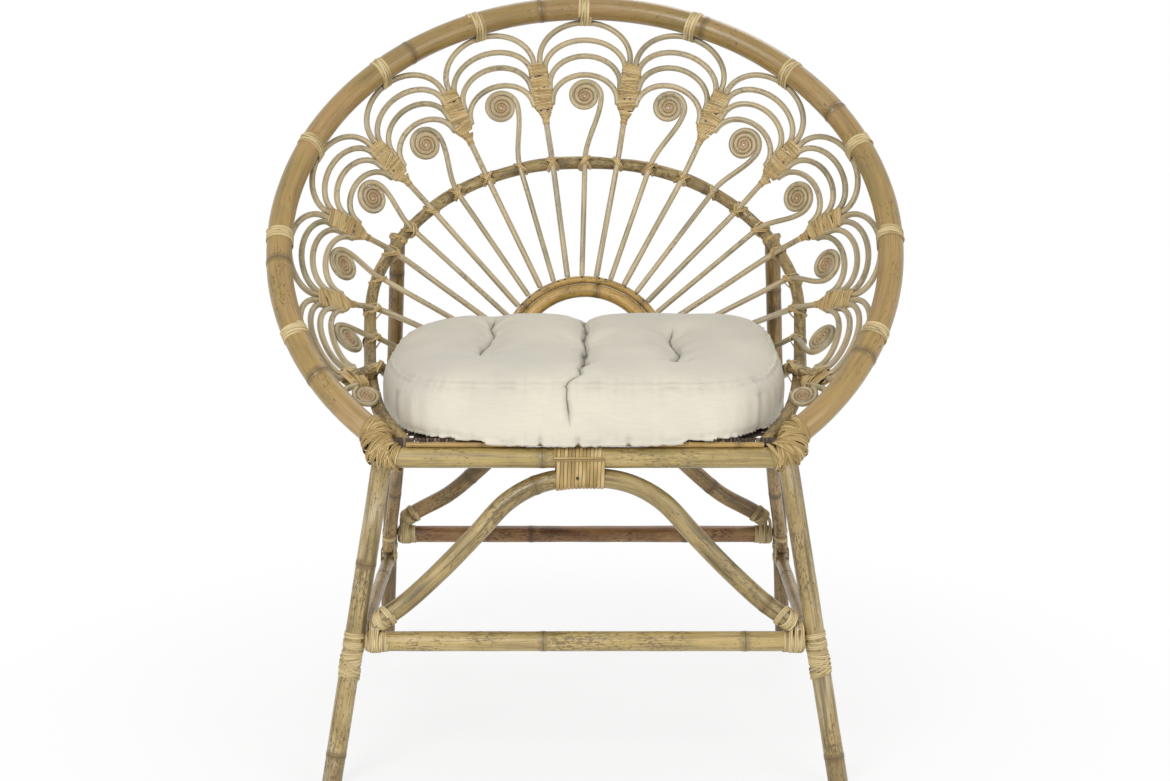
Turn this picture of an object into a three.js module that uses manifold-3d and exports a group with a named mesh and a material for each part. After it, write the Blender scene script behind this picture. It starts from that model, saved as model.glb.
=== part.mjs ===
// A rattan peacock armchair: a round rim pole, a back hoop, a fan of ribs and scroll rods
// with nested scallops between them, four splayed legs, stretchers, arched braces and a
// loose cushion on a slatted deck.
// Millimetres, +Z up, the front faces -Y. X = 0 is the middle of the chair.
// While the pieces are placed, Y = 0 is the axis of the front rail and Z = 0 the floor.

import * as THREE from 'three';
import { mergeVertices } from 'three/addons/utils/BufferGeometryUtils.js';
import Module from 'manifold-3d';

const wasm = await Module();
wasm.setup();

// Fits
const CLEARANCE = 0.3;
const FUSE_DEPTH = 3.2;

// Front rail
const RAIL_HEIGHT = 400;
const RAIL_RADIUS = 12.5;

// Rim pole: a circle in a tilted plane whose ends stand on the front rail
const RIM_RADIUS = 391;
const RIM_POLE_RADIUS = 16;
const RIM_END_ANGLE = THREE.MathUtils.degToRad(141.654);
const RIM_END_HALF_WIDTH = RIM_RADIUS * Math.sin(RIM_END_ANGLE);
const RIM_RISE = RAIL_RADIUS + CLEARANCE
  - (RIM_RADIUS + RIM_POLE_RADIUS) * Math.cos(RIM_END_ANGLE);
const RIM_TILT = THREE.MathUtils.degToRad(47.5);
const RIM_BIND_ANGLE = THREE.MathUtils.degToRad(60);
const RIM_TOP_DEPTH = (RIM_RISE + RIM_RADIUS) * Math.cos(RIM_TILT);
const RIM_TOP_RISE = (RIM_RISE + RIM_RADIUS) * Math.sin(RIM_TILT);

// Front of the seat
const RAIL_OVERRUN = 19.4;
const RAIL_HALF_LENGTH = RIM_END_HALF_WIDTH + RAIL_OVERRUN;
const LINER_RADIUS = 3.3;
const LINER_ADVANCE = 3;
const LINER_SETBACK = 50;
const LINER_HALF_LENGTH = RAIL_HALF_LENGTH - LINER_SETBACK;

// Back hoop: seat side arms that bend up into the back
const HOOP_POLE_RADIUS = 8;
const HOOP_FLARE = 47.4;
const HOOP_HALF_WIDTH = RIM_END_HALF_WIDTH + HOOP_FLARE;
const HOOP_TOP_ADVANCE = 53.45;
const HOOP_DEPTH = RIM_TOP_DEPTH - HOOP_TOP_ADVANCE;
const HOOP_TOP_DROP = 211.05;
const HOOP_RISE = RIM_TOP_RISE - HOOP_TOP_DROP;

// Bent seat rail: it lies on the deck behind the cushion and bends out into the fan
const BENT_RAIL_RADIUS = 7.5;
const BENT_RAIL_INSET = 34;
const BENT_RAIL_HALF_WIDTH = HOOP_HALF_WIDTH - BENT_RAIL_INSET;
const BENT_RAIL_EASE = 2.4;
const BENT_RAIL_END_SHARE = 0.44;

// Rear seat rail: straight, between the rear legs and a little ahead of their axes
const REAR_RAIL_RADIUS = 10;
const REAR_RAIL_ADVANCE = 2.5;

// Heart ring: two half rings whose short legs stand on the deck behind the cushion
const HEART_INNER_POLE_RADIUS = 9.2;
const HEART_OUTER_POLE_RADIUS = 5.4;
const HEART_RADIUS = 98.2;
const HEART_ADVANCE = 83;
const HEART_DEPTH = HOOP_DEPTH - HEART_ADVANCE;
const HEART_LEG_HEIGHT = 36;
const HEART_LEAN = THREE.MathUtils.degToRad(15.6);

// Fan
const ROD_RADIUS = 4;
const RIM_PITCH = THREE.MathUtils.degToRad(22.7);
const HEART_PITCH = THREE.MathUtils.degToRad(19.2);
const HEART_TURN = THREE.MathUtils.degToRad(-2);
const RIBS_PER_SIDE = 5;
const SCROLLS_PER_SIDE = 6;
const CORNER_ARCHES = 1;
const CORNER_SCROLL_SCALE = 0.75;
const CORNER_START_LENGTH = 4;
const CORNER_SCROLL_LIFT = 7;
const LAST_RIB_INDEX = 5.5;
const CORNER_INDEX = 6.14;
const SCROLL_RADIUS = 22.5;
const SCROLL_TURNS = 4;
const SCROLL_ROD_RADIUS = 3.7;
const SCROLL_CORE_ROD_RADIUS = 0.82;
const SCROLL_TURN_GAP = 0.6;

// Legs
const FRONT_LEG_RADIUS = 12;
const REAR_LEG_RADIUS = 10.5;
const FRONT_LEG_TOP_HALF_WIDTH = RIM_END_HALF_WIDTH;
const FRONT_FOOT_HALF_WIDTH = 307;
const FRONT_FOOT_ADVANCE = 30;
const REAR_FOOT_HALF_WIDTH = 296;
const REAR_FOOT_DEPTH = 525;
const REAR_LEG_HOOP_INDEX = 3.05;
const REAR_LEG_OVERRUN = 4;

// Stretchers and braces
const STRETCHER_HEIGHT = 178;
const STRETCHER_RADIUS = 12;
const SIDE_STRETCHER_DROP = 36;
const SIDE_STRETCHER_RADIUS = 9;
const BRACE_RADIUS = 11.5;
const SIDE_BRACE_RADIUS = 9;
const SIDE_BRACE_ADVANCE = 36;
const SIDE_BRACE_OUTSET = 3.4;
const SIDE_BRACE_LIFT = 3.6;
const BRACE_FOOT_INSET = 4;

// Centre binding: a flat cane strip wound round the front rail and the brace
const BINDING_CENTRE = -7;
const BINDING_TURNS = 13;
const BINDING_PITCH = 4.4;
const BINDING_STRIP_WIDTH = 3.7;
const BINDING_STRIP_THICKNESS = 1.2;
const BINDING_STANDOFF = 0.9;

// Deck
const DECK_THICKNESS = 6.5;
const DECK_FRONT = 4;
const DECK_OVERRUN = 4;
const DECK_INSET = 50;
const DECK_HALF_WIDTH = HOOP_HALF_WIDTH - DECK_INSET;
const DECK_FRONT_SHARE = 0.82;
const DECK_SIDE_MARGIN = 11.8;
const DECK_SLOT_COUNT = 9;
const DECK_SLOT_WIDTH = 18;
const DECK_SLOT_PITCH = (2 * (DECK_HALF_WIDTH * DECK_FRONT_SHARE - DECK_SIDE_MARGIN)
  - DECK_SLOT_WIDTH) / (DECK_SLOT_COUNT - 1);
const DECK_SLOT_LENGTH = 130;
const DECK_SLOT_MARGIN = 24;

// Cushion
const CUSHION_SIDE_GAP = 38;
const CUSHION_HALF_WIDTH = HOOP_HALF_WIDTH - CUSHION_SIDE_GAP;
const CUSHION_FRONT = -8;
const CUSHION_BACK_GAP = 18;
const CUSHION_DEPTH = HEART_DEPTH - CUSHION_BACK_GAP - CUSHION_FRONT;
const CUSHION_SIDE_HEIGHT = 64;
const CUSHION_CROWN = 24;
const CUSHION_BACK_RISE = 20;
const CREASE_DEPTH = 22;
const CREASE_WIDTH = 20;
const CREASE_LENGTH = 75;
const CREASE_HALF_SPACING = 118;
const CHANNEL_DEPTH = 15;
const CHANNEL_WIDTH = 14;

const SIDES = [['left', -1], ['right', 1]];
const FAN_FOCUS = new THREE.Vector3(0, HOOP_DEPTH / 3, RAIL_HEIGHT + HOOP_RISE);

function point(x, y, z) {
  return new THREE.Vector3(x, y, z);
}

// Materials, by the look of the real finish
function finish(color, roughness) {
  return new THREE.MeshStandardMaterial({ color, roughness, metalness: 0 });
}

const CANE_POLE = finish(0xb59a5c, 0.42);
const BARK_POLE = finish(0x7d6a48, 0.6);
const PALE_ROD = finish(0xc0a87c, 0.5);
const ORANGE_ROD = finish(0xb3834a, 0.45);
const RED_POLE = finish(0x9c6a45, 0.5);
const CANE_STRIP = finish(0xd2bb86, 0.6);
const DARK_STRAND = finish(0x5a4638, 0.7);
const LINEN = finish(0xd9d3c4, 0.9);

const chair = new THREE.Group();

function addPiece(name, geometry, material) {
  const mesh = new THREE.Mesh(geometry, material.clone());
  mesh.name = name;
  chair.add(mesh);
  return mesh;
}

// A pole of even thickness along a curve, with closed square ends
function pole(curve, radius, sides, steps) {
  const section = new THREE.Shape();
  for (let i = 0; i < sides; i += 1) {
    const angle = (2 * Math.PI * i) / sides;
    const x = radius * Math.cos(angle);
    const y = radius * Math.sin(angle);
    if (i === 0) section.moveTo(x, y);
    else section.lineTo(x, y);
  }
  section.closePath();
  return new THREE.ExtrudeGeometry(section, { steps, extrudePath: curve, bevelEnabled: false });
}

function straightPole(from, to, radius, sides) {
  return pole(new THREE.LineCurve3(from, to), radius, sides, 1);
}

// A pole whose flat ends stay level, as sawn legs do
function levelPole(foot, top, radius, sides) {
  const height = top.z - foot.z;
  const geometry = new THREE.CylinderGeometry(radius, radius, height, sides);
  geometry.rotateX(Math.PI / 2);
  geometry.translate(0, 0, height / 2);
  const lean = new THREE.Matrix4().makeShear(
    0, 0, 0, 0, (top.x - foot.x) / height, (top.y - foot.y) / height);
  geometry.applyMatrix4(lean);
  geometry.translate(foot.x, foot.y, foot.z);
  return geometry;
}

// A closed rod through rings: each ring is a list of corner points in the same order
function skin(rings) {
  const count = rings[0].length;
  const positions = [];
  const triangles = [];
  rings.forEach((ring) => ring.forEach((corner) => positions.push(corner.x, corner.y, corner.z)));
  for (let r = 0; r + 1 < rings.length; r += 1) {
    for (let i = 0; i < count; i += 1) {
      const a = r * count + i;
      const b = r * count + ((i + 1) % count);
      triangles.push(a, b, a + count, b, b + count, a + count);
    }
  }
  const last = (rings.length - 1) * count;
  for (let i = 1; i + 1 < count; i += 1) {
    triangles.push(0, i + 1, i);
    triangles.push(last, last + i, last + i + 1);
  }
  const geometry = new THREE.BufferGeometry();
  geometry.setAttribute('position', new THREE.Float32BufferAttribute(positions, 3));
  geometry.setIndex(triangles);
  return geometry;
}

// A rod through centres, each with its radius; one corner of each ring faces the outward
// direction that belongs to it, so that rods which lie side by side meet on their corners
function rod(centres, radii, outwards, sides) {
  const rings = centres.map((centre, i) => {
    const before = centres[Math.max(i - 1, 0)];
    const after = centres[Math.min(i + 1, centres.length - 1)];
    const along = after.clone().sub(before).normalize();
    const across = along.clone().cross(outwards[i]).normalize();
    const outward = across.clone().cross(along);
    return Array.from({ length: sides }, (_, corner) => {
      const angle = (2 * Math.PI * corner) / sides;
      return centre.clone()
        .addScaledVector(outward, radii[i] * Math.cos(angle))
        .addScaledVector(across, radii[i] * Math.sin(angle));
    });
  });
  return skin(rings);
}

function toSolid(geometry) {
  const bare = geometry.clone();
  bare.deleteAttribute('normal');
  bare.deleteAttribute('uv');
  const merged = mergeVertices(bare);
  const index = merged.index.array;
  return new wasm.Manifold(new wasm.Mesh({
    numProp: 3,
    vertProperties: new Float32Array(merged.attributes.position.array),
    triVerts: new Uint32Array(index),
  }));
}

function fromSolid(solid) {
  const mesh = solid.getMesh();
  const geometry = new THREE.BufferGeometry();
  geometry.setAttribute('position', new THREE.Float32BufferAttribute(mesh.vertProperties, 3));
  geometry.setIndex(Array.from(mesh.triVerts));
  return geometry;
}

// Rim circle
const RIM_UPWARD = point(0, Math.cos(RIM_TILT), Math.sin(RIM_TILT));
const RIM_BACKWARD = point(0, Math.sin(RIM_TILT), -Math.cos(RIM_TILT));

function rimPoint(angle) {
  return point(RIM_RADIUS * Math.sin(angle), 0, RAIL_HEIGHT)
    .addScaledVector(RIM_UPWARD, RIM_RISE + RIM_RADIUS * Math.cos(angle));
}

class RimCurve extends THREE.Curve {
  getPoint(share, target = new THREE.Vector3()) {
    return target.copy(rimPoint(RIM_END_ANGLE * (2 * share - 1)));
  }
}

// Back hoop, from its top down to its front end, one place for each whole fan index
const HOOP_SHARES = [
  [0.000, 1.000, 1.000],
  [0.307, 0.995, 0.975],
  [0.610, 0.977, 0.876],
  [0.834, 0.929, 0.724],
  [0.974, 0.798, 0.524],
  [0.978, 0.621, 0.298],
  [0.857, 0.161, 0.123],
];
// Its front end keeps to the end of the rim pole
const HOOP_FRONT_SHARE = [0.8857, 0.048, 0.040];
const HOOP_END_INDEX = HOOP_SHARES.length;

function hoopPlace(halfWidth) {
  return ([x, y, z]) => point(halfWidth * x, HOOP_DEPTH * y, RAIL_HEIGHT + HOOP_RISE * z);
}

const hoopRightSide = [
  ...HOOP_SHARES.map(hoopPlace(HOOP_HALF_WIDTH)),
  hoopPlace(RIM_END_HALF_WIDTH)(HOOP_FRONT_SHARE),
];
const hoopLeftSide = hoopRightSide.slice(1).reverse().map((p) => point(-p.x, p.y, p.z));
const hoopCurve = new THREE.CatmullRomCurve3([...hoopLeftSide, ...hoopRightSide]);

function hoopPoint(index) {
  return hoopCurve.getPoint(0.5 + index / (2 * HOOP_END_INDEX));
}

// Where the fan meets the rim: behind and inside the rim pole
function rimSeat(index) {
  const angle = RIM_PITCH * index;
  const inward = point(-Math.sin(angle), 0, 0).addScaledVector(RIM_UPWARD, -Math.cos(angle));
  const reach = RIM_POLE_RADIUS + ROD_RADIUS + CLEARANCE;
  return rimPoint(angle)
    .addScaledVector(inward, reach * Math.cos(RIM_BIND_ANGLE))
    .addScaledVector(RIM_BACKWARD, reach * Math.sin(RIM_BIND_ANGLE));
}

// A place on the hoop, and the direction from it towards the sitter
function hoopSides(index) {
  const centre = hoopPoint(index);
  const step = 1 / (4 * HOOP_END_INDEX);
  const along = hoopPoint(index + step).sub(hoopPoint(index - step)).normalize();
  const outward = rimSeat(index).sub(centre);
  outward.addScaledVector(along, -outward.dot(along)).normalize();
  const inner = along.clone().cross(outward).normalize();
  if (inner.dot(FAN_FOCUS.clone().sub(centre)) < 0) inner.negate();
  return { centre, inner };
}

// Where the fan crosses the back hoop: on the sitter's side of it
function hoopSeat(index, rodRadius = ROD_RADIUS) {
  const { centre, inner } = hoopSides(index);
  return centre.addScaledVector(inner, HOOP_POLE_RADIUS + rodRadius + CLEARANCE);
}

// The outer fan is a ruled surface: depth share 0 is at the rim, 1 at the hoop
function fanPoint(index, depthShare) {
  return rimSeat(index).lerp(hoopSeat(index), depthShare);
}

function fanDepth(index) {
  return rimSeat(index).distanceTo(hoopSeat(index));
}

// Depth shares of one scallop: crowns of its four arches, where each turns down, and the
// ends of its tails
const CROWN_SHARES = [0, 0.128, 0.244, 0.38];
const SPRING_SHARES = [0.276, 0.345, 0.45, 0.575];
const TAIL_SHARES = [0.37, 0.7, 0.52, 0.64];
const TAIL_EDGE_SHARES = [0, 1, 0.6, 0.6];
const RIB_END_SHARE = 0.395;
const ARCH_STEPS = [8, 7, 6, 5];
const ARCH_SIDES = 4;
const RIB_GAP = ROD_RADIUS + CLEARANCE / 2;

// How far an arch's tail lies from the line of the rib beside it
function tailOffset(arch, ribRadius) {
  const besideRib = ribRadius + ROD_RADIUS + CLEARANCE;
  if (arch === 0) return RIB_GAP;
  if (arch === 1) return RIB_GAP + 2 * ROD_RADIUS - FUSE_DEPTH;
  return besideRib + 2 * ROD_RADIUS - FUSE_DEPTH;
}

// How far a place on the fan lies from the spoke line of another index
function squareDistance(from, index, share) {
  const line = rimSeat(index).sub(hoopSeat(index)).normalize();
  const across = fanPoint(index, share).sub(fanPoint(from, share));
  return across.addScaledVector(line, -across.dot(line)).length();
}

function scallop(centre, halfSpan, edgeRadii, archCount) {
  let solid = null;
  CROWN_SHARES.slice(0, archCount).forEach((crown, arch) => {
    const spring = SPRING_SHARES[arch];
    const alone = archCount === 1;
    const tail = TAIL_SHARES[alone ? 1 : arch];
    const places = [];
    const foot = (side, share, edge) => {
      const ribRadius = edgeRadii[side < 0 ? 0 : 1];
      const besideRib = ribRadius + ROD_RADIUS + CLEARANCE;
      const offset = alone ? besideRib
        : THREE.MathUtils.lerp(tailOffset(arch, ribRadius), besideRib, edge);
      const half = squareDistance(centre, centre + side * halfSpan, share);
      return { index: centre + side * halfSpan * (1 - offset / half), share, side };
    };
    const tailPlaces = (side) => {
      const end = foot(side, tail, TAIL_EDGE_SHARES[arch]);
      return alone || arch === 1 ? [end, foot(side, RIB_END_SHARE, 1)] : [end];
    };
    places.push(...tailPlaces(-1));
    const left = foot(-1, spring, 0);
    const right = foot(1, spring, 0);
    const steps = ARCH_STEPS[arch];
    for (let step = 0; step <= steps; step += 1) {
      const swing = (Math.PI * step) / steps;
      places.push({
        index: THREE.MathUtils.lerp(left.index, right.index, (1 - Math.cos(swing)) / 2),
        share: spring - (spring - crown) * Math.sin(swing),
        side: -Math.cos(swing),
      });
    }
    places.push(...tailPlaces(1).reverse());
    const centres = places.map(({ index, share }) => fanPoint(index, share));
    const middle = fanPoint(centre, spring);
    const outwards = centres.map((c) => c.clone().sub(middle).normalize());
    const arm = toSolid(rod(centres, centres.map(() => ROD_RADIUS), outwards, ARCH_SIDES));
    solid = solid ? solid.add(arm) : arm;
  });
  return fromSolid(solid);
}

// Deck levels: the deck lies on the rear rail and on the binding of the front rail
const DECK_BOTTOM = RAIL_HEIGHT + RAIL_RADIUS + BINDING_STANDOFF + BINDING_STRIP_THICKNESS
  + CLEARANCE;
const DECK_TOP = DECK_BOTTOM + DECK_THICKNESS;

// Liner on the front rail
const linerHeight = DECK_BOTTOM + LINER_RADIUS - 2 * CLEARANCE;
const linerTop = linerHeight + LINER_RADIUS;

// Bent seat rail
const bentRailLead = hoopSeat(LAST_RIB_INDEX, BENT_RAIL_RADIUS + BENT_RAIL_EASE);
const bentRailEnd = rimSeat(LAST_RIB_INDEX).lerp(bentRailLead, BENT_RAIL_END_SHARE);
const BENT_RAIL_SHARES = [
  [0, 1, 0],
  [0.30, 0.995, 0],
  [0.62, 0.975, 0.05],
  [0.88, 0.86, 0.18],
  [1.00, 0.58, 0.42],
];
const bentRailHeight = DECK_TOP + CLEARANCE + BENT_RAIL_RADIUS;
const bentRailRise = bentRailLead.z - bentRailHeight;
const bentRailReach = HEART_DEPTH + HEART_INNER_POLE_RADIUS + BENT_RAIL_RADIUS + CLEARANCE
  - bentRailLead.y;
const bentRailRight = [
  ...BENT_RAIL_SHARES.map(([x, y, z]) => point(BENT_RAIL_HALF_WIDTH * x,
    bentRailLead.y + bentRailReach * y, bentRailHeight + bentRailRise * z)),
  bentRailLead,
  bentRailLead.clone().lerp(bentRailEnd, 0.5),
  bentRailEnd,
];
const bentRailLeft = bentRailRight.slice(1).reverse().map((p) => point(-p.x, p.y, p.z));
const bentRailCurve = new THREE.CatmullRomCurve3([...bentRailLeft, ...bentRailRight]);

function bentRailAtWidth(halfWidth) {
  let share = 0.5;
  while (bentRailCurve.getPoint(share).x < halfWidth) share += 0.001;
  return bentRailCurve.getPoint(share);
}

// Heart rings
const HEART_OUTER_RADIUS = HEART_RADIUS + HEART_INNER_POLE_RADIUS + HEART_OUTER_POLE_RADIUS
  + CLEARANCE;
const HEART_UPWARD = point(0, Math.sin(HEART_LEAN), Math.cos(HEART_LEAN));
const heartCentre = point(0, HEART_DEPTH, DECK_TOP + HEART_LEG_HEIGHT);

function heartPoint(radius, angle) {
  return heartCentre.clone()
    .addScaledVector(point(1, 0, 0), radius * Math.sin(angle))
    .addScaledVector(HEART_UPWARD, radius * Math.cos(angle));
}

// A half circle on two straight legs, whose slanted feet just clear the deck
class HeartCurve extends THREE.Curve {
  constructor(radius, poleRadius) {
    super();
    this.radius = radius;
    const drop = HEART_LEG_HEIGHT - CLEARANCE - poleRadius * Math.sin(HEART_LEAN);
    this.legAngle = drop / Math.cos(HEART_LEAN) / radius;
  }

  getPoint(share, target = new THREE.Vector3()) {
    const angle = (2 * share - 1) * (Math.PI / 2 + this.legAngle);
    const along = THREE.MathUtils.clamp(angle, -Math.PI / 2, Math.PI / 2);
    return target.copy(heartPoint(this.radius, along))
      .addScaledVector(HEART_UPWARD, -this.radius * Math.abs(angle - along));
  }
}

// Where a spoke starts: square on the outer heart ring, on top of the bent seat rail, or
// on top of the hoop itself
const RAIL_START_SHARE = 0.76;

function spokeStart(index, crossing) {
  const side = Math.sign(index);
  if (Math.abs(index) > LAST_RIB_INDEX) {
    const back = crossing.clone().sub(rimSeat(index)).normalize();
    return crossing.clone().addScaledVector(back, CORNER_START_LENGTH);
  }
  if (Math.abs(index) > RIBS_PER_SIDE - 0.5) {
    const seat = bentRailAtWidth(BENT_RAIL_HALF_WIDTH * RAIL_START_SHARE);
    seat.x *= side;
    seat.z += BENT_RAIL_RADIUS + ROD_RADIUS + CLEARANCE;
    return seat;
  }
  const angle = HEART_PITCH * index + HEART_TURN;
  const ring = heartPoint(HEART_OUTER_RADIUS, angle);
  const outward = ring.clone().sub(heartCentre).normalize();
  const along = crossing.clone().sub(ring).normalize();
  const tilt = Math.sqrt(Math.max(0, 1 - along.dot(outward) ** 2));
  return ring.addScaledVector(outward,
    HEART_OUTER_POLE_RADIUS + CLEARANCE + ROD_RADIUS * tilt);
}

// Ribs
const RIB_SIDES = 6;

function rib(index) {
  const crossing = hoopSeat(index);
  const start = spokeStart(index, crossing);
  const end = fanPoint(index, RIB_END_SHARE);
  const curve = new THREE.CatmullRomCurve3([
    start,
    start.clone().lerp(crossing, 0.5),
    crossing,
    crossing.clone().lerp(end, 0.5),
    end,
  ]);
  return pole(curve, ROD_RADIUS, RIB_SIDES, 8);
}

// Scroll rods: a straight stem that swings to the right of its scroll and winds in
const SCROLL_STEPS = [10, 8, 7, 6];
const SCROLL_SIDES = 5;
const STEM_STEPS = 4;
const STEM_BEND_STEPS = 5;

const scrollTaper = (SCROLL_ROD_RADIUS - SCROLL_CORE_ROD_RADIUS) / SCROLL_TURNS;

function scrollRodRadius(turn) {
  return SCROLL_ROD_RADIUS - scrollTaper * turn;
}

// The spiral closes in by two rod radii and a gap in each turn
function scrollRadius(turn) {
  const firstPitch = 2 * SCROLL_ROD_RADIUS + SCROLL_TURN_GAP;
  return SCROLL_RADIUS - firstPitch * turn + scrollTaper * turn * turn;
}

function scrollRod(index, archCount, scale) {
  const depth = fanDepth(index);
  const crown = CROWN_SHARES[archCount - 1];
  const step = 0.05;
  const lateral = fanPoint(index + step, crown).sub(fanPoint(index - step, crown)).normalize();
  const radial = rimSeat(index).sub(hoopSeat(index)).normalize();
  const skew = Math.sqrt(1 - lateral.dot(radial) ** 2);
  const reach = (SCROLL_RADIUS + SCROLL_ROD_RADIUS) * scale;
  const centreShare = crown + (ROD_RADIUS + CLEARANCE + reach / skew) / depth;
  const corner = Math.abs(index) > LAST_RIB_INDEX;
  const lift = corner ? CORNER_SCROLL_LIFT : 0;
  const centre = fanPoint(index, centreShare).addScaledVector(hoopSides(index).inner, lift);
  lateral.addScaledVector(radial, -lateral.dot(radial)).normalize();
  // The right corner winds the other way, clear of the hoop that runs past it
  if (index > LAST_RIB_INDEX) lateral.negate();
  const crossing = hoopSeat(index,
    corner ? SCROLL_ROD_RADIUS * scale - CLEARANCE / 2 : ROD_RADIUS + CLEARANCE / 2);
  const start = spokeStart(index, crossing);
  const centres = [];
  const radii = [];
  const outwards = [];
  const push = (place, radius, outward) => {
    centres.push(place);
    radii.push(radius * scale);
    outwards.push(outward);
  };
  for (let i = 0; i < STEM_STEPS; i += 1) {
    push(start.clone().lerp(crossing, i / STEM_STEPS), SCROLL_ROD_RADIUS, lateral);
  }
  const rise = crossing.distanceTo(centre);
  for (let i = 0; i < STEM_BEND_STEPS; i += 1) {
    const share = i / STEM_BEND_STEPS;
    const swing = THREE.MathUtils.smoothstep(share, 0, 1);
    push(crossing.clone()
      .addScaledVector(radial, rise * share)
      .addScaledVector(lateral, SCROLL_RADIUS * scale * swing), SCROLL_ROD_RADIUS, lateral);
  }
  SCROLL_STEPS.forEach((steps, turn) => {
    for (let i = 0; i <= steps; i += 1) {
      if (i === steps && turn + 1 < SCROLL_TURNS) continue;
      const turns = turn + i / steps;
      const angle = 2 * Math.PI * turns;
      const outward = lateral.clone().multiplyScalar(Math.cos(angle))
        .addScaledVector(radial, Math.sin(angle));
      push(centre.clone().addScaledVector(outward, scrollRadius(turns) * scale),
        scrollRodRadius(turns), outward);
    }
  });
  return rod(centres, radii, outwards, SCROLL_SIDES);
}

function leastScrollGap() {
  let least = Infinity;
  for (let turn = 0; turn + 1 <= SCROLL_TURNS; turn += 0.05) {
    const pitch = scrollRadius(turn) - scrollRadius(turn + 1);
    least = Math.min(least, pitch - scrollRodRadius(turn) - scrollRodRadius(turn + 1));
  }
  return least * CORNER_SCROLL_SCALE;
}

// Legs
const FRONT_LEG_TOP = RAIL_HEIGHT - RAIL_RADIUS - CLEARANCE;

function frontLegPoint(side, height) {
  const share = height / FRONT_LEG_TOP;
  return point(
    side * THREE.MathUtils.lerp(FRONT_FOOT_HALF_WIDTH, FRONT_LEG_TOP_HALF_WIDTH, share),
    -FRONT_FOOT_ADVANCE * (1 - share), height);
}

// The rear leg leans in so that it passes close behind the hoop
const rearFoot = point(REAR_FOOT_HALF_WIDTH, REAR_FOOT_DEPTH, 0);
const rearLegTop = rearLegEnd();

function rearLegEnd() {
  const hoop = hoopPoint(REAR_LEG_HOOP_INDEX);
  const step = 1 / (4 * HOOP_END_INDEX);
  const along = hoopPoint(REAR_LEG_HOOP_INDEX + step)
    .sub(hoopPoint(REAR_LEG_HOOP_INDEX - step));
  const up = hoop.clone().sub(rearFoot);
  const behind = up.clone().cross(along).normalize();
  if (behind.y < 0) behind.negate();
  const crossing = hoop.addScaledVector(behind,
    HOOP_POLE_RADIUS + REAR_LEG_RADIUS + 2 * CLEARANCE);
  return crossing.addScaledVector(up.normalize(), REAR_LEG_OVERRUN);
}

function rearLegPoint(side, height) {
  const place = rearFoot.clone().lerp(rearLegTop, height / rearLegTop.z);
  place.x *= side;
  return place;
}

// A stretcher between two legs, each end cut back to clear its leaning leg
function stretcherEnds(from, to, fromRadius, toRadius, radius, fromLean, toLean) {
  const along = to.clone().sub(from).normalize();
  return [
    from.clone().addScaledVector(along, fromRadius + CLEARANCE + radius * fromLean),
    to.clone().addScaledVector(along, -toRadius - CLEARANCE - radius * toLean),
  ];
}

const FRONT_SPLAY = (FRONT_FOOT_HALF_WIDTH - FRONT_LEG_TOP_HALF_WIDTH) / FRONT_LEG_TOP;
const FRONT_RAKE = FRONT_FOOT_ADVANCE / FRONT_LEG_TOP;
const REAR_SPLAY = (rearFoot.x - rearLegTop.x) / rearLegTop.z;
const REAR_RAKE = (rearFoot.y - rearLegTop.y) / rearLegTop.z;
const SIDE_STRETCHER_HEIGHT = STRETCHER_HEIGHT - SIDE_STRETCHER_DROP;

// An arched brace: from a foot on one stretcher end, up under the apex, and down again
const FRONT_BRACE_SHARES = [
  [0.86, 0.141], [0.69, 0.362], [0.525, 0.603], [0.364, 0.843], [0.20, 0.965],
];
const REAR_BRACE_SHARES = [
  [0.93, 0.07], [0.75, 0.22], [0.578, 0.44], [0.38, 0.72], [0.18, 0.93],
];
const SIDE_BRACE_SHARES = [
  [0.97, 0.15], [0.90, 0.34], [0.80, 0.505], [0.60, 0.72], [0.30, 0.93],
];

function braceCurve(shares, footA, footB, apex) {
  const half = footB.clone().sub(footA).multiplyScalar(0.5);
  const middle = footA.clone().add(footB).multiplyScalar(0.5);
  const lift = apex.clone().sub(middle);
  const side = (sign) => [[1, 0], ...shares].map(([out, up]) => middle.clone()
    .addScaledVector(half, sign * out)
    .addScaledVector(lift, up));
  return new THREE.CatmullRomCurve3([...side(-1), apex, ...side(1).reverse()]);
}

// The lowest corner of a brace's slanted foot rests on the stretcher
const BRACE_FOOT_SLANT_SHARE = 0.9;

const frontBraceFoot = frontLegPoint(1, STRETCHER_HEIGHT);
frontBraceFoot.x -= FRONT_LEG_RADIUS + BRACE_RADIUS + BRACE_FOOT_INSET;
frontBraceFoot.z += STRETCHER_RADIUS + CLEARANCE + BRACE_RADIUS * BRACE_FOOT_SLANT_SHARE;
const frontBraceApex = point(0, 0,
  RAIL_HEIGHT - RAIL_RADIUS - BRACE_RADIUS - CLEARANCE);
const frontBraceCurve = braceCurve(FRONT_BRACE_SHARES,
  point(-frontBraceFoot.x, frontBraceFoot.y, frontBraceFoot.z), frontBraceFoot, frontBraceApex);

// Centre binding
function bindingPoint(turns) {
  const x = BINDING_CENTRE + BINDING_PITCH * (turns - BINDING_TURNS / 2);
  const angle = 2 * Math.PI * turns;
  const lift = BINDING_STANDOFF + BINDING_STRIP_THICKNESS / 2;
  const drop = frontBraceApex.z - braceHeightAt(x);
  const top = point(x, 0, RAIL_HEIGHT);
  const bottom = point(x, 0, frontBraceApex.z - drop - CLEARANCE
    - (BRACE_RADIUS - RAIL_RADIUS));
  const centre = Math.cos(angle) >= 0 ? top : bottom;
  const outward = point(0, Math.sin(angle), Math.cos(angle));
  return { centre: centre.addScaledVector(outward, RAIL_RADIUS + lift), outward };
}

function braceHeightAt(x) {
  let share = 0.5;
  while (Math.abs(frontBraceCurve.getPoint(share).x) < Math.abs(x)) share += 0.002;
  return frontBraceCurve.getPoint(share).z;
}

const BINDING_STEPS = 10;

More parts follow.
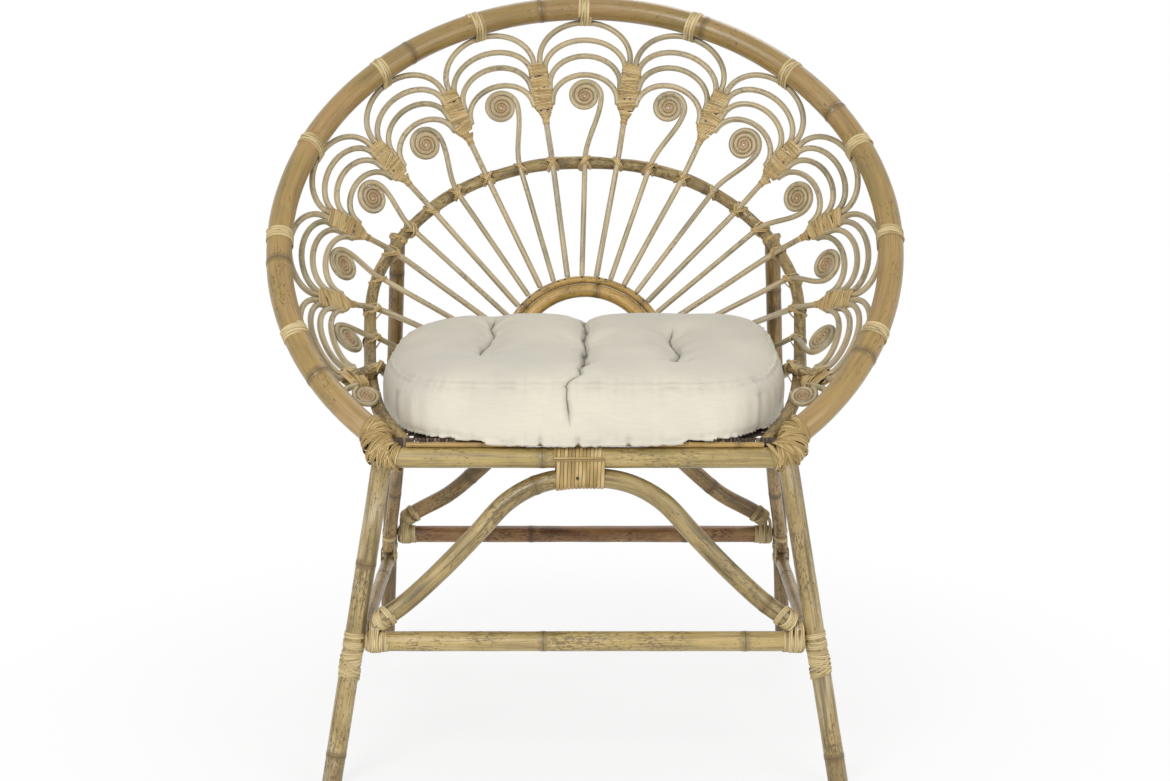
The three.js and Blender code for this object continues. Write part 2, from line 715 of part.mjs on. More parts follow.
function centreBinding() {
  const rings = [];
  for (let step = 0; step <= BINDING_TURNS * BINDING_STEPS; step += 1) {
    const { centre, outward } = bindingPoint(step / BINDING_STEPS);
    const w = BINDING_STRIP_WIDTH / 2;
    const h = BINDING_STRIP_THICKNESS / 2;
    rings.push([[-w, -h], [-w, h], [w, h], [w, -h]].map(([across, out]) => centre.clone()
      .addScaledVector(point(1, 0, 0), across)
      .addScaledVector(outward, out)));
  }
  return skin(rings);
}

// Rear rail: its place follows the rear legs
const rearRailHeight = DECK_BOTTOM - CLEARANCE - REAR_RAIL_RADIUS;
const rearRailDepth = rearLegPoint(1, rearRailHeight).y - REAR_RAIL_ADVANCE;

// Deck: a slotted panel from the front rail back to the rear rail
const DECK_OUTLINE_SHARES = [
  [DECK_FRONT_SHARE, 0], [0.86, 0.07], [0.93, 0.14], [0.98, 0.32], [1, 0.60], [1, 1],
];

function deck() {
  const shape = new THREE.Shape();
  const depth = rearRailDepth + DECK_OVERRUN - DECK_FRONT;
  const corner = ([x, y], side) => [side * DECK_HALF_WIDTH * x, DECK_FRONT + depth * y];
  const outline = [
    ...DECK_OUTLINE_SHARES.map((share) => corner(share, 1)),
    ...[...DECK_OUTLINE_SHARES].reverse().map((share) => corner(share, -1)),
  ];
  outline.forEach(([x, y], i) => (i === 0 ? shape.moveTo(x, y) : shape.lineTo(x, y)));
  shape.closePath();
  const slab = new THREE.ExtrudeGeometry(shape, { depth: DECK_THICKNESS, bevelEnabled: false });
  slab.translate(0, 0, DECK_BOTTOM);
  let solid = toSolid(slab);
  for (let row = 0; row < 2; row += 1) {
    for (let i = 0; i < DECK_SLOT_COUNT; i += 1) {
      const x = (i - (DECK_SLOT_COUNT - 1) / 2) * DECK_SLOT_PITCH;
      const y = DECK_FRONT + DECK_SLOT_MARGIN + row * (DECK_SLOT_LENGTH + DECK_SLOT_MARGIN);
      const slot = new THREE.BoxGeometry(DECK_SLOT_WIDTH, DECK_SLOT_LENGTH, 4 * DECK_THICKNESS);
      slot.translate(x, y + DECK_SLOT_LENGTH / 2, DECK_BOTTOM);
      solid = solid.subtract(toSolid(slot));
    }
  }
  return fromSolid(solid);
}

// Cushion: rings round its middle, from the middle of the bottom up to the middle of the top
const CUSHION_AROUND = 44;
const CUSHION_PLAN_SHARES = [
  [0.45, 0.004], [0.72, 0.045], [0.87, 0.16], [0.955, 0.31], [1.0, 0.47], [1.0, 0.64],
  [0.985, 0.80], [0.94, 0.90], [0.83, 0.965], [0.48, 0.995],
];
const CUSHION_RINGS = [
  [0.45, 0, 0], [0.90, 0, 0], [0.965, 0.10, 0], [1.0, 0.45, 0], [0.985, 0.86, 0],
  [0.955, 1, 0.10], [0.90, 1, 0.45], [0.78, 1, 0.80], [0.64, 1, 0.92], [0.50, 1, 0.98],
  [0.35, 1, 1], [0.18, 1, 1],
];
const CUSHION_MIDDLE_SHARE = 0.56;
const cushionMiddle = CUSHION_FRONT + CUSHION_DEPTH * CUSHION_MIDDLE_SHARE;
const cushionBottom = Math.max(DECK_TOP, linerTop) + CLEARANCE;

const cushionRight = CUSHION_PLAN_SHARES.map(([x, y]) => point(
  CUSHION_HALF_WIDTH * x, CUSHION_FRONT + CUSHION_DEPTH * y, 0));
const cushionPlan = new THREE.CatmullRomCurve3([
  point(0, CUSHION_FRONT, 0),
  ...cushionRight,
  point(0, CUSHION_FRONT + CUSHION_DEPTH, 0),
  ...[...cushionRight].reverse().map((p) => point(-p.x, p.y, 0)),
], true);

function bell(offset, width) {
  return Math.exp(-((offset / width) ** 2));
}

function cushionDip(x, y) {
  const crease = bell(Math.abs(x) - CREASE_HALF_SPACING, CREASE_WIDTH)
    * bell(y - cushionMiddle, CREASE_LENGTH);
  const behind = THREE.MathUtils.smoothstep(y, CUSHION_FRONT, cushionMiddle);
  return CREASE_DEPTH * crease + CHANNEL_DEPTH * behind * bell(x, CHANNEL_WIDTH);
}

function cushion() {
  const rings = CUSHION_RINGS;
  const positions = [];
  const triangles = [];
  const top = (x, y, lift, crown) => {
    const dip = crown > 0 ? cushionDip(x, y) * crown : 0;
    const rise = CUSHION_BACK_RISE * THREE.MathUtils.smoothstep(y, cushionMiddle / 2,
      CUSHION_FRONT + CUSHION_DEPTH);
    return cushionBottom + (CUSHION_SIDE_HEIGHT + rise) * lift + CUSHION_CROWN * crown - dip;
  };
  positions.push(0, cushionMiddle, top(0, cushionMiddle, 0, 0));
  rings.forEach(([share, lift, crown]) => {
    for (let i = 0; i < CUSHION_AROUND; i += 1) {
      const edge = cushionPlan.getPointAt(i / CUSHION_AROUND);
      const x = edge.x * share;
      const y = THREE.MathUtils.lerp(cushionMiddle, edge.y, share);
      positions.push(x, y, top(x, y, lift, crown));
    }
  });
  positions.push(0, cushionMiddle, top(0, cushionMiddle, 1, 1));
  const peak = positions.length / 3 - 1;
  const at = (ring, i) => 1 + ring * CUSHION_AROUND + (i % CUSHION_AROUND);
  for (let i = 0; i < CUSHION_AROUND; i += 1) {
    triangles.push(0, at(0, i + 1), at(0, i));
    for (let ring = 0; ring + 1 < rings.length; ring += 1) {
      const a = at(ring, i);
      const b = at(ring, i + 1);
      const c = at(ring + 1, i);
      const d = at(ring + 1, i + 1);
      triangles.push(a, b, c, b, d, c);
    }
    triangles.push(at(rings.length - 1, i), at(rings.length - 1, i + 1), peak);
  }
  const geometry = new THREE.BufferGeometry();
  geometry.setAttribute('position', new THREE.Float32BufferAttribute(positions, 3));
  geometry.setIndex(triangles);
  return geometry;
}

// The hoops and the front of the seat
addPiece('rim_hoop', pole(new RimCurve(), RIM_POLE_RADIUS, 12, 40), CANE_POLE);
addPiece('back_hoop', pole(hoopCurve, HOOP_POLE_RADIUS, 10, 40), BARK_POLE);
addPiece('front_rail', straightPole(point(-RAIL_HALF_LENGTH, 0, RAIL_HEIGHT),
  point(RAIL_HALF_LENGTH, 0, RAIL_HEIGHT), RAIL_RADIUS, 12), CANE_POLE);
addPiece('front_liner', straightPole(point(-LINER_HALF_LENGTH, -LINER_ADVANCE, linerHeight),
  point(LINER_HALF_LENGTH, -LINER_ADVANCE, linerHeight), LINER_RADIUS, 8), ORANGE_ROD);
addPiece('bent_rail', pole(bentRailCurve, BENT_RAIL_RADIUS, 8, 36), BARK_POLE);
addPiece('heart_ring_inner', pole(new HeartCurve(HEART_RADIUS, HEART_INNER_POLE_RADIUS),
  HEART_INNER_POLE_RADIUS, 8, 22), ORANGE_ROD);
addPiece('heart_ring_outer', pole(new HeartCurve(HEART_OUTER_RADIUS, HEART_OUTER_POLE_RADIUS),
  HEART_OUTER_POLE_RADIUS, 8, 22), ORANGE_ROD);

// Legs, stretchers and braces
SIDES.forEach(([name, side]) => {
  addPiece(`front_leg_${name}`, levelPole(frontLegPoint(side, 0),
    frontLegPoint(side, FRONT_LEG_TOP), FRONT_LEG_RADIUS, 12), CANE_POLE);
  addPiece(`rear_leg_${name}`, levelPole(rearLegPoint(side, 0),
    rearLegPoint(side, rearLegTop.z), REAR_LEG_RADIUS, 12), CANE_POLE);
});

const rearRailEnd = rearLegPoint(1, rearRailHeight);
rearRailEnd.x -= REAR_LEG_RADIUS + CLEARANCE + REAR_RAIL_RADIUS * REAR_SPLAY;
addPiece('seat_rear_rail', straightPole(point(-rearRailEnd.x, rearRailDepth, rearRailHeight),
  point(rearRailEnd.x, rearRailDepth, rearRailHeight), REAR_RAIL_RADIUS, 10), CANE_POLE);

addPiece('front_stretcher', straightPole(...stretcherEnds(
  frontLegPoint(-1, STRETCHER_HEIGHT), frontLegPoint(1, STRETCHER_HEIGHT),
  FRONT_LEG_RADIUS, FRONT_LEG_RADIUS, STRETCHER_RADIUS, FRONT_SPLAY, FRONT_SPLAY),
STRETCHER_RADIUS, 12), CANE_POLE);
addPiece('rear_stretcher', straightPole(...stretcherEnds(
  rearLegPoint(-1, STRETCHER_HEIGHT), rearLegPoint(1, STRETCHER_HEIGHT),
  REAR_LEG_RADIUS, REAR_LEG_RADIUS, STRETCHER_RADIUS, REAR_SPLAY, REAR_SPLAY),
STRETCHER_RADIUS, 12), RED_POLE);
addPiece('front_brace', pole(frontBraceCurve, BRACE_RADIUS, 8, 22), CANE_POLE);

const rearBraceFoot = rearLegPoint(1, STRETCHER_HEIGHT);
rearBraceFoot.x -= REAR_LEG_RADIUS + BRACE_RADIUS;
rearBraceFoot.z += STRETCHER_RADIUS + CLEARANCE + BRACE_RADIUS * BRACE_FOOT_SLANT_SHARE;
const rearBraceApex = point(0, rearRailDepth,
  rearRailHeight - REAR_RAIL_RADIUS - CLEARANCE - BRACE_RADIUS);
addPiece('rear_brace', pole(braceCurve(REAR_BRACE_SHARES,
  point(-rearBraceFoot.x, rearBraceFoot.y, rearBraceFoot.z), rearBraceFoot, rearBraceApex),
BRACE_RADIUS, 8, 22), CANE_POLE);

SIDES.forEach(([name, side]) => {
  const [front, rear] = stretcherEnds(
    frontLegPoint(side, SIDE_STRETCHER_HEIGHT), rearLegPoint(side, SIDE_STRETCHER_HEIGHT),
    FRONT_LEG_RADIUS, REAR_LEG_RADIUS, SIDE_STRETCHER_RADIUS, FRONT_RAKE, REAR_RAKE);
  addPiece(`${name}_stretcher`, straightPole(front, rear, SIDE_STRETCHER_RADIUS, 10), CANE_POLE);
  const lift = SIDE_STRETCHER_RADIUS + CLEARANCE + SIDE_BRACE_RADIUS * BRACE_FOOT_SLANT_SHARE;
  const inset = (SIDE_BRACE_RADIUS + BRACE_FOOT_INSET) / front.distanceTo(rear);
  const footFront = front.clone().lerp(rear, inset).add(point(0, 0, lift));
  const footRear = rear.clone().lerp(front, inset).add(point(0, 0, lift));
  const middle = footFront.clone().lerp(footRear, 0.5);
  const apex = point(side * (DECK_HALF_WIDTH + SIDE_BRACE_OUTSET), middle.y - SIDE_BRACE_ADVANCE,
    DECK_BOTTOM - CLEARANCE - SIDE_BRACE_RADIUS + SIDE_BRACE_LIFT);
  addPiece(`${name}_brace`, pole(braceCurve(SIDE_BRACE_SHARES, footFront, footRear, apex),
    SIDE_BRACE_RADIUS, 8, 18), CANE_POLE);
});

addPiece('centre_binding', centreBinding(), CANE_STRIP);
addPiece('seat_deck', deck(), DARK_STRAND);
addPiece('seat_cushion', cushion(), LINEN);

// The fan, from the middle out to each side
function sideName(step, side) {
  return step === 0 ? 'centre' : `${side < 0 ? 'left' : 'right'}_${step}`;
}

const CORNER_CENTRE_INDEX = (LAST_RIB_INDEX + CORNER_INDEX) / 2;
const LAST_HALF_SPAN = (CORNER_INDEX - LAST_RIB_INDEX) / 2;

for (let step = 0; step <= SCROLLS_PER_SIDE; step += 1) {
  SIDES.forEach(([, side]) => {
    if (step === 0 && side < 0) return;
    const last = step === SCROLLS_PER_SIDE;
    const index = side * (last ? CORNER_CENTRE_INDEX : step);
    const halfSpan = last ? LAST_HALF_SPAN : 0.5;
    const railRadius = BENT_RAIL_RADIUS + BENT_RAIL_EASE;
    const outerRadius = step === SCROLLS_PER_SIDE - 1 ? railRadius : ROD_RADIUS;
    const innerRadius = last ? railRadius : ROD_RADIUS;
    const edgeRadii = side > 0 ? [innerRadius, outerRadius] : [outerRadius, innerRadius];
    const archCount = last ? CORNER_ARCHES : CROWN_SHARES.length;
    addPiece(`scallop_${sideName(step, side)}`,
      scallop(index, halfSpan, edgeRadii, archCount), PALE_ROD);
    addPiece(`scroll_rod_${sideName(step, side)}`,
      scrollRod(index, archCount, last ? CORNER_SCROLL_SCALE : 1), PALE_ROD);
  });
}

for (let step = 1; step <= RIBS_PER_SIDE; step += 1) {
  SIDES.forEach(([, side]) => {
    addPiece(`rib_${sideName(step, side)}`, rib(side * (step - 0.5)), PALE_ROD);
  });
}

console.log(`least gap between the turns of a scroll: ${leastScrollGap().toFixed(2)} mm`);
console.log('least gap between the turns of the centre binding: '
  + `${(BINDING_PITCH - BINDING_STRIP_WIDTH).toFixed(2)} mm`);

// The origin is under the middle of the chair's box
const box = new THREE.Box3().setFromObject(chair);
chair.position.y = -(box.min.y + box.max.y) / 2;

export default chair;
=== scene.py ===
"""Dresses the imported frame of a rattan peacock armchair: round poles with their culm nodes,
wound cane lashings, a woven deck and a loose linen cushion.

The shaping code works in millimetres with y = 0 at the axis of the front rail, as the part's
own layout does. Blender's objects are in metres, +Z up, and the front faces -Y."""

import math

import bpy
import numpy as np
from bpy.props import FloatProperty, FloatVectorProperty, PointerProperty
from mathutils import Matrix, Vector, kdtree, noise


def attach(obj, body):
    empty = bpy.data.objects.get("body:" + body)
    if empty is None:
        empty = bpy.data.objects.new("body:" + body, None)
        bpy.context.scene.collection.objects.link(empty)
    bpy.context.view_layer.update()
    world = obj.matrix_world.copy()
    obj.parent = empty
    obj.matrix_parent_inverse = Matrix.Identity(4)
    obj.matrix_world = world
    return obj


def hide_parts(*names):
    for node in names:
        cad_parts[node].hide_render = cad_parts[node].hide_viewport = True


bl_info = {
    "name": "Rattan peacock armchair",
    "version": (1, 0, 0),
    "blender": (4, 5, 0),
    "location": "3D View > Sidebar > Chair",
    "description": "Builds the visible pieces of a rattan peacock armchair on its frame",
    "category": "Object",
}

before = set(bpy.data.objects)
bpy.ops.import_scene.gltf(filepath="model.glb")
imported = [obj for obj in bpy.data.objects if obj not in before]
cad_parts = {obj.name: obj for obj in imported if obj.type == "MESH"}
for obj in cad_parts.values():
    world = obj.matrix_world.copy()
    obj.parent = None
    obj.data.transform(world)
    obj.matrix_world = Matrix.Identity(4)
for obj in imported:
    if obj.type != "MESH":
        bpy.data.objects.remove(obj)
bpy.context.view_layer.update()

MM = 0.001
# The frame's origin is under the middle of the chair
SHIFT = Vector((0.0, -246.75, 0.0))
SMOOTH_ANGLE = math.radians(50)

# Layout of the frame, millimetres. A share is a part of a length, an index counts spokes
# from the middle of the fan.
CLEARANCE = 0.3
RIM_POLE = 16.0
RAIL_POLE = 12.5
HOOP_POLE = 8.0
BENT_POLE = 7.5
ROD = 4.0
SCROLL_ROD = 3.7
RING_POLE = 9.2
THIN_RING = 5.4
LINER = 3.3
FRONT_LEG = 12.0
REAR_LEG = 10.5
REAR_RAIL = 10.0
STRETCHER = 12.0
BRACE = 11.5
SIDE_POLE = 9.0
RIM_RADIUS = 391.0
RIM_RISE = 332.0
RIM_TILT = math.radians(47.5)
RIM_END = math.radians(141.654)
# Where the arches lie on the rim: how far from its axis, and how far round to the back
RIM_SEAT = RIM_POLE + ROD + CLEARANCE
RIM_BIND_ANGLE = math.radians(60)
RAIL_HEIGHT = 400.0
# The frame's rail runs on to 262 mm; this one ends inside its lashing
RAIL_HALF_LENGTH = 243.0
# Half length, depth and height; 1.5 mm lower than the frame's, on the rail
LINER_PLACE = (212.0, -3.0, 416.1)
BINDING_MIDDLE = -7.0
HOOP_HALF_WIDTH = 290.0
HOOP_DEPTH = 435.0
HOOP_RISE = 322.0
BENT_RAIL_HALF_WIDTH = 256.0
BENT_RAIL_EASE = 2.4
BENT_RAIL_END_SHARE = 0.44
BENT_RAIL_START_SHARE = 0.76
DECK_BOTTOM = 414.9
DECK_TOP = 421.4
DECK_HALF_WIDTH = 240.0
REAR_RAIL_DEPTH = 451.8
REAR_RAIL_HEIGHT = 404.6
HEART_RADIUS = 98.2
HEART_DEPTH = 352.0
HEART_LEG_HEIGHT = 36.0
HEART_LEAN = math.radians(15.6)
HEART_PITCH = math.radians(19.2)
HEART_TURN = math.radians(-2)
RIM_PITCH = math.radians(22.7)
LAST_RING_SPOKE = 4.5
LAST_RIB = 5.5
CORNER = 6.14
CORNER_SCALE = 0.75
SCROLL_RADIUS = 22.5
SCROLL_TURNS = 4
RIB_END_SHARE = 0.395
# From one arch's tail to the next, side by side at a rib
TAIL_PITCH = 4.8
FRONT_FOOT = (307.0, -30.0)
FRONT_LEG_TOP_HALF = 242.6
REAR_FOOT = Vector((296, 525, 0))
# Where the rear leg passes behind the hoop, and how far apart their axes are there
REAR_LEG_INDEX = 3.05
REAR_LEG_APART = HOOP_POLE + REAR_LEG + 2 * CLEARANCE
STRETCHER_HEIGHT = 178.0
SIDE_STRETCHER_HEIGHT = 142.0
# From a leg's axis to the end of the stretcher, at the sides for front and rear
FRONT_STRETCHER_GAP = 14.3
REAR_STRETCHER_GAP = 11.8
SIDE_STRETCHER_GAPS = (13.1, 12.4)
# How high a brace's foot stands on its stretcher, as a share of the brace's radius
BRACE_FOOT_LIFT = 0.9
CUSHION_HALF_WIDTH = 252.0
CUSHION_DEPTH = 342.0
CUSHION_FRONT = -8.0
CUSHION_MIDDLE = CUSHION_FRONT + CUSHION_DEPTH * 0.56
CUSHION_BOTTOM = 421.8
CUSHION_SIDE = 64.0
CUSHION_CROWN = 21.0
# Room left for the filling to push the cloth out
CUSHION_SHRINK = 2.5

HOOP_SHARES = (
    (0.000, 1.000, 1.000), (0.307, 0.995, 0.975), (0.610, 0.977, 0.876),
    (0.834, 0.929, 0.724), (0.974, 0.798, 0.524), (0.978, 0.621, 0.298),
    (0.857, 0.161, 0.123), (0.741, 0.048, 0.040),
)
BENT_RAIL_SHARES = (
    (0, 1, 0), (0.30, 0.995, 0), (0.62, 0.975, 0.05), (0.88, 0.86, 0.18), (1.00, 0.58, 0.42),
)
CROWN_SHARES = (0, 0.128, 0.244, 0.38)
SPRING_SHARES = (0.276, 0.345, 0.45, 0.575)
TAIL_SHARES = (0.37, 0.60, 0.50, 0.57)
TAIL_EDGE_SHARES = (0, 1, 0.6, 0.75)
FRONT_BRACE_SHARES = ((0.86, 0.141), (0.69, 0.362), (0.525, 0.603), (0.364, 0.843), (0.20, 0.965))
REAR_BRACE_SHARES = ((0.93, 0.07), (0.75, 0.22), (0.578, 0.44), (0.38, 0.72), (0.18, 0.93))
SIDE_BRACE_SHARES = ((0.97, 0.15), (0.90, 0.34), (0.80, 0.505), (0.60, 0.72), (0.30, 0.93))
DECK_OUTLINE_SHARES = ((0.0, 0.82), (0.07, 0.86), (0.14, 0.93), (0.32, 0.98), (0.60, 1.0),
                       (1.0, 1.0))
CUSHION_PLAN_SHARES = (
    (0.45, 0.004), (0.72, 0.045), (0.87, 0.16), (0.955, 0.31), (1.0, 0.47), (1.0, 0.64),
    (0.983, 0.81), (0.94, 0.91), (0.83, 0.975), (0.50, 1.0),
)
# Shares of the plan, of the side's height and of the crown, from the base to the top
CUSHION_RINGS = (
    (0.45, 0, 0), (0.93, 0, 0), (0.985, 0.005, 0), (0.995, 0.04, 0), (1.004, 0.22, 0),
    (1.008, 0.45, 0), (1.004, 0.70, 0), (0.988, 0.90, 0), (0.968, 1, 0), (0.945, 1, 0.16),
    (0.90, 1, 0.46), (0.82, 1, 0.74), (0.70, 1, 0.90), (0.56, 1, 0.97), (0.40, 1, 1),
    (0.20, 1, 1),
)
# Shares of the plan and of the height at which each boxed seam runs
TOP_SEAM = (0.968, 1.0)
BASE_SEAM = (0.995, 0.04)
# Place and half length of each sewn crease
CREASES = ((-123.0, 205.0, 105.0), (113.0, 155.0, 85.0))
CLOTH_LAYERS = ("top_gap", "base_gap", "around", "old_x", "old_y", "old_z")
# Degrees round the rim at which its culm nodes sit
RIM_KNOT_ANGLES = (-124, -97, -68, -38, -9, 25, 59, 91, 119)
# Start, end and lean of each group of strands down a rib
FAN_GROUPS = ((0.285, 0.372, 0.5), (0.377, 0.455, -0.4), (0.460, 0.540, 0.6),
              (0.545, 0.625, -0.5), (0.630, 0.722, 0.4))
# Radii of a corner lashing from the rim down to the front rail
CORNER_GIRTH = (16.2, 17.0, 18.6, 17.6, 12.9)


def linear(hex_colour):
    """sRGB hex to the linear colour that Blender's sockets take."""
    parts = [int(hex_colour[i:i + 2], 16) / 255 for i in (1, 3, 5)]
    return tuple(c / 12.92 if c <= 0.04045 else ((c + 0.055) / 1.055) ** 2.4 for c in parts)


def length_property(name, description, millimetres):
    return FloatProperty(name=name, description=description, default=millimetres * MM,
                         min=0.0001, unit="LENGTH")


def colour_property(name, description, hex_colour):
    return FloatVectorProperty(name=name, description=description, size=3, subtype="COLOR",
                               min=0, max=1, default=linear(hex_colour))


class PoleSizes(bpy.types.PropertyGroup):
    """Radii of the rattan poles and rods."""

    rim: length_property("Rim pole", "Radius of the thick round rim pole", RIM_POLE)
    rail: length_property("Front rail", "Radius of the front rail", RAIL_POLE)
    hoop: length_property("Back hoop", "Radius of the bark-on hoop", HOOP_POLE)
    bent_rail: length_property("Bent rail", "Radius of the rail behind the cushion", BENT_POLE)
    rod: length_property("Rods", "Radius of the thin ribs and arches", ROD)
    scroll: length_property("Scroll rods", "Radius of the rods that end in a scroll", SCROLL_ROD)
    front_leg: length_property("Front legs", "Radius of the front legs", FRONT_LEG)
    rear_leg: length_property("Rear legs", "Radius of the rear legs", REAR_LEG)
    stretcher: length_property("Stretchers", "Radius of front and rear stretchers", STRETCHER)
    knot_swell: FloatProperty(name="Culm node swell", description="How far a culm node stands "
                              "out, as a share of the pole's radius", default=0.055, min=0, max=0.2)


class CaneSizes(bpy.types.PropertyGroup):
    """Sizes of the split cane that is wound round the joints."""

    strand_width: length_property("Strand width", "Width of a lashing strand", 2.1)
    strand_thickness: length_property("Strand thickness", "Thickness of a strand", 0.9)
    fine_width: length_property("Fine strand width", "Width of a strand in the fan", 1.7)
    band_width: length_property("Band width", "Width of the wide strips on the rim", 3.9)


class CushionSizes(bpy.types.PropertyGroup):
    """Sizes of the loose seat cushion."""

    crease: length_property("Crease depth", "Depth of the two sewn creases", 17)
    channel: length_property("Channel depth", "Depth of the channel down the middle", 17)
    seam: length_property("Seam height", "How far the boxed seams stand out", 2.0)
    puff: length_property("Puff", "The most that the filling pushes the cloth out", 11)


class Finishes(bpy.types.PropertyGroup):
    """Colours of the chair."""

    golden: colour_property("Golden pole", "Varnished rattan of the rim and front", "#ac8c4d")
    bark: colour_property("Bark pole", "Bark-on rattan of the hoop", "#a58c5b")
    pale: colour_property("Peeled rod", "Peeled rattan of the fan", "#d0bf9a")
    ring: colour_property("Heart ring", "Golden brown rattan of the heart ring", "#bd9953")
    red: colour_property("Rear stretcher", "Reddish brown rattan", "#7a532d")
    straw: colour_property("Split cane", "Straw-coloured cane of the lashings", "#cfba88")
    honey: colour_property("Honey cane", "Cane of the centre binding and corners", "#b6995f")
    pale_gold: colour_property("Pale gold pole", "Front rail and front stretcher", "#c2aa6c")
    tan: colour_property("Fan cane", "Tan cane of the lashings in the fan", "#c8aa72")
    strand: colour_property("Deck strand", "Dark bark strands of the deck", "#443222")
    linen: colour_property("Linen", "Washed linen of the cushion", "#d6d0c0")


# Places on the frame

UP = Vector((0, math.cos(RIM_TILT), math.sin(RIM_TILT)))
BACK = Vector((0, math.sin(RIM_TILT), -math.cos(RIM_TILT)))
HEART_UP = Vector((0, math.sin(HEART_LEAN), math.cos(HEART_LEAN)))
FAN_FOCUS = Vector((0, HOOP_DEPTH / 3, RAIL_HEIGHT + HOOP_RISE))
RIGHT, FRONT, HIGH = Vector((1, 0, 0)), Vector((0, -1, 0)), Vector((0, 0, 1))
SIDES = ((-1, "left"), (1, "right"))


def lerp(a, b, share):
    return a + (b - a) * share


def bell(value, width):
    return np.exp(-((value / width) ** 2))


def ramp(value, low, high):
    return np.clip((value - low) / (high - low), 0, 1)


def smoothstep(value, low, high):
    t = ramp(value, low, high)
    return t * t * (3 - 2 * t)


def facing(direction, towards):
    return -direction if direction.dot(towards) < 0 else direction


def square_to(axis, direction):
    """The unit direction square to the axis that is nearest to the given one."""
    return (direction - axis * direction.dot(axis)).normalized()


def spline(places, closed=False):
    """A centripetal curve through the places, as a function of a share from 0 to 1."""
    count = len(places)
    last = count if closed else count - 1

    def place(share):
        t = min(max(share, 0), 1) * last
        i = min(int(t), last - 1)
        w = t - i
        p1 = places[i % count]
        p2 = places[(i + 1) % count]
        p0 = places[(i - 1) % count] if closed or i else p1 * 2 - p2
        p3 = places[(i + 2) % count] if closed or i + 2 < count else p2 * 2 - p1
        d0, d1, d2 = (max((b - a).length_squared ** 0.25, 1e-4)
                      for a, b in ((p0, p1), (p1, p2), (p2, p3)))
        t1 = ((p1 - p0) / d0 - (p2 - p0) / (d0 + d1) + (p2 - p1) / d1) * d1
        t2 = ((p2 - p1) / d1 - (p3 - p1) / (d1 + d2) + (p3 - p2) / d2) * d1
        c2 = -3 * p1 + 3 * p2 - 2 * t1 - t2
        c3 = 2 * p1 - 2 * p2 + t1 + t2
        return p1 + t1 * w + c2 * w * w + c3 * w ** 3

    return place


def traced(place, steps=240):
    return [place(i / steps) for i in range(steps + 1)]


def straight(a, b, steps=40):
    return [lerp(a, b, i / steps) for i in range(steps + 1)]


def level(half, y, z):
    return straight(Vector((-half, y, z)), Vector((half, y, z)))


def mirrored(right_side):
    left = [Vector((-p.x, p.y, p.z)) for p in reversed(right_side[1:])]
    return left + list(right_side)


def rim_inward(angle):
    return Vector((-math.sin(angle), 0, 0)) - UP * math.cos(angle)


def rim_place(angle):
    return Vector((RIM_RADIUS * math.sin(angle), 0, RAIL_HEIGHT)) \
        + UP * (RIM_RISE + RIM_RADIUS * math.cos(angle))


HOOP = spline(mirrored([
    Vector((HOOP_HALF_WIDTH * x, HOOP_DEPTH * y, RAIL_HEIGHT + HOOP_RISE * z))
    for x, y, z in HOOP_SHARES]))
HOOP_LAST = len(HOOP_SHARES) - 1


def hoop_place(index):
    return HOOP(0.5 + index / (2 * HOOP_LAST))


def hoop_run(index):
    step = 1 / (4 * HOOP_LAST)
    return hoop_place(index + step) - hoop_place(index - step)


def rim_seat(index):
    angle = RIM_PITCH * index
    return rim_place(angle) + RIM_SEAT * (rim_inward(angle) * math.cos(RIM_BIND_ANGLE)
                                          + BACK * math.sin(RIM_BIND_ANGLE))


def hoop_sides(index):
    """A place on the hoop, its run, and from it the directions to the sitter and the rim."""
    centre = hoop_place(index)
    along = hoop_run(index).normalized()
    outward = square_to(along, rim_seat(index) - centre)
    inner = facing(along.cross(outward).normalized(), FAN_FOCUS - centre)
    return centre, along, inner, outward


def hoop_seat(index, radius=ROD):
    centre, _, inner, _ = hoop_sides(index)
    return centre + inner * (HOOP_POLE + radius + CLEARANCE)


def fan_place(index, share):
    return lerp(rim_seat(index), hoop_seat(index), share)


def fan_across(index, share):
    return fan_place(index + 0.05, share) - fan_place(index - 0.05, share)


BENT_RAIL_LEAD = hoop_seat(LAST_RIB, BENT_POLE + BENT_RAIL_EASE)
BENT_RAIL_END = lerp(rim_seat(LAST_RIB), BENT_RAIL_LEAD, BENT_RAIL_END_SHARE)


def bent_rail_curve():
    height = DECK_TOP + CLEARANCE + BENT_POLE
    rise = BENT_RAIL_LEAD.z - height
    reach = HEART_DEPTH + RING_POLE + BENT_POLE + CLEARANCE - BENT_RAIL_LEAD.y
    right = [Vector((BENT_RAIL_HALF_WIDTH * x, BENT_RAIL_LEAD.y + reach * y, height + rise * z))
             for x, y, z in BENT_RAIL_SHARES]
    right += [BENT_RAIL_LEAD, lerp(BENT_RAIL_LEAD, BENT_RAIL_END, 0.5), BENT_RAIL_END]
    return spline(mirrored(right))


BENT_RAIL = bent_rail_curve()
HEART_CENTRE = Vector((0, HEART_DEPTH, DECK_TOP + HEART_LEG_HEIGHT))
HEART_OUTER = HEART_RADIUS + RING_POLE + THIN_RING + CLEARANCE


def heart_place(radius, angle):
    return HEART_CENTRE + Vector((radius * math.sin(angle), 0, 0)) \
        + HEART_UP * (radius * math.cos(angle))


def heart_line(radius, pole_radius):
    drop = HEART_LEG_HEIGHT - CLEARANCE - pole_radius * math.sin(HEART_LEAN)
    leg = drop / math.cos(HEART_LEAN)
    right = [heart_place(radius, math.pi / 2 * i / 40) for i in range(41)]
    right += [right[-1] - HEART_UP * leg * i / 4 for i in range(1, 5)]
    return mirrored(right)


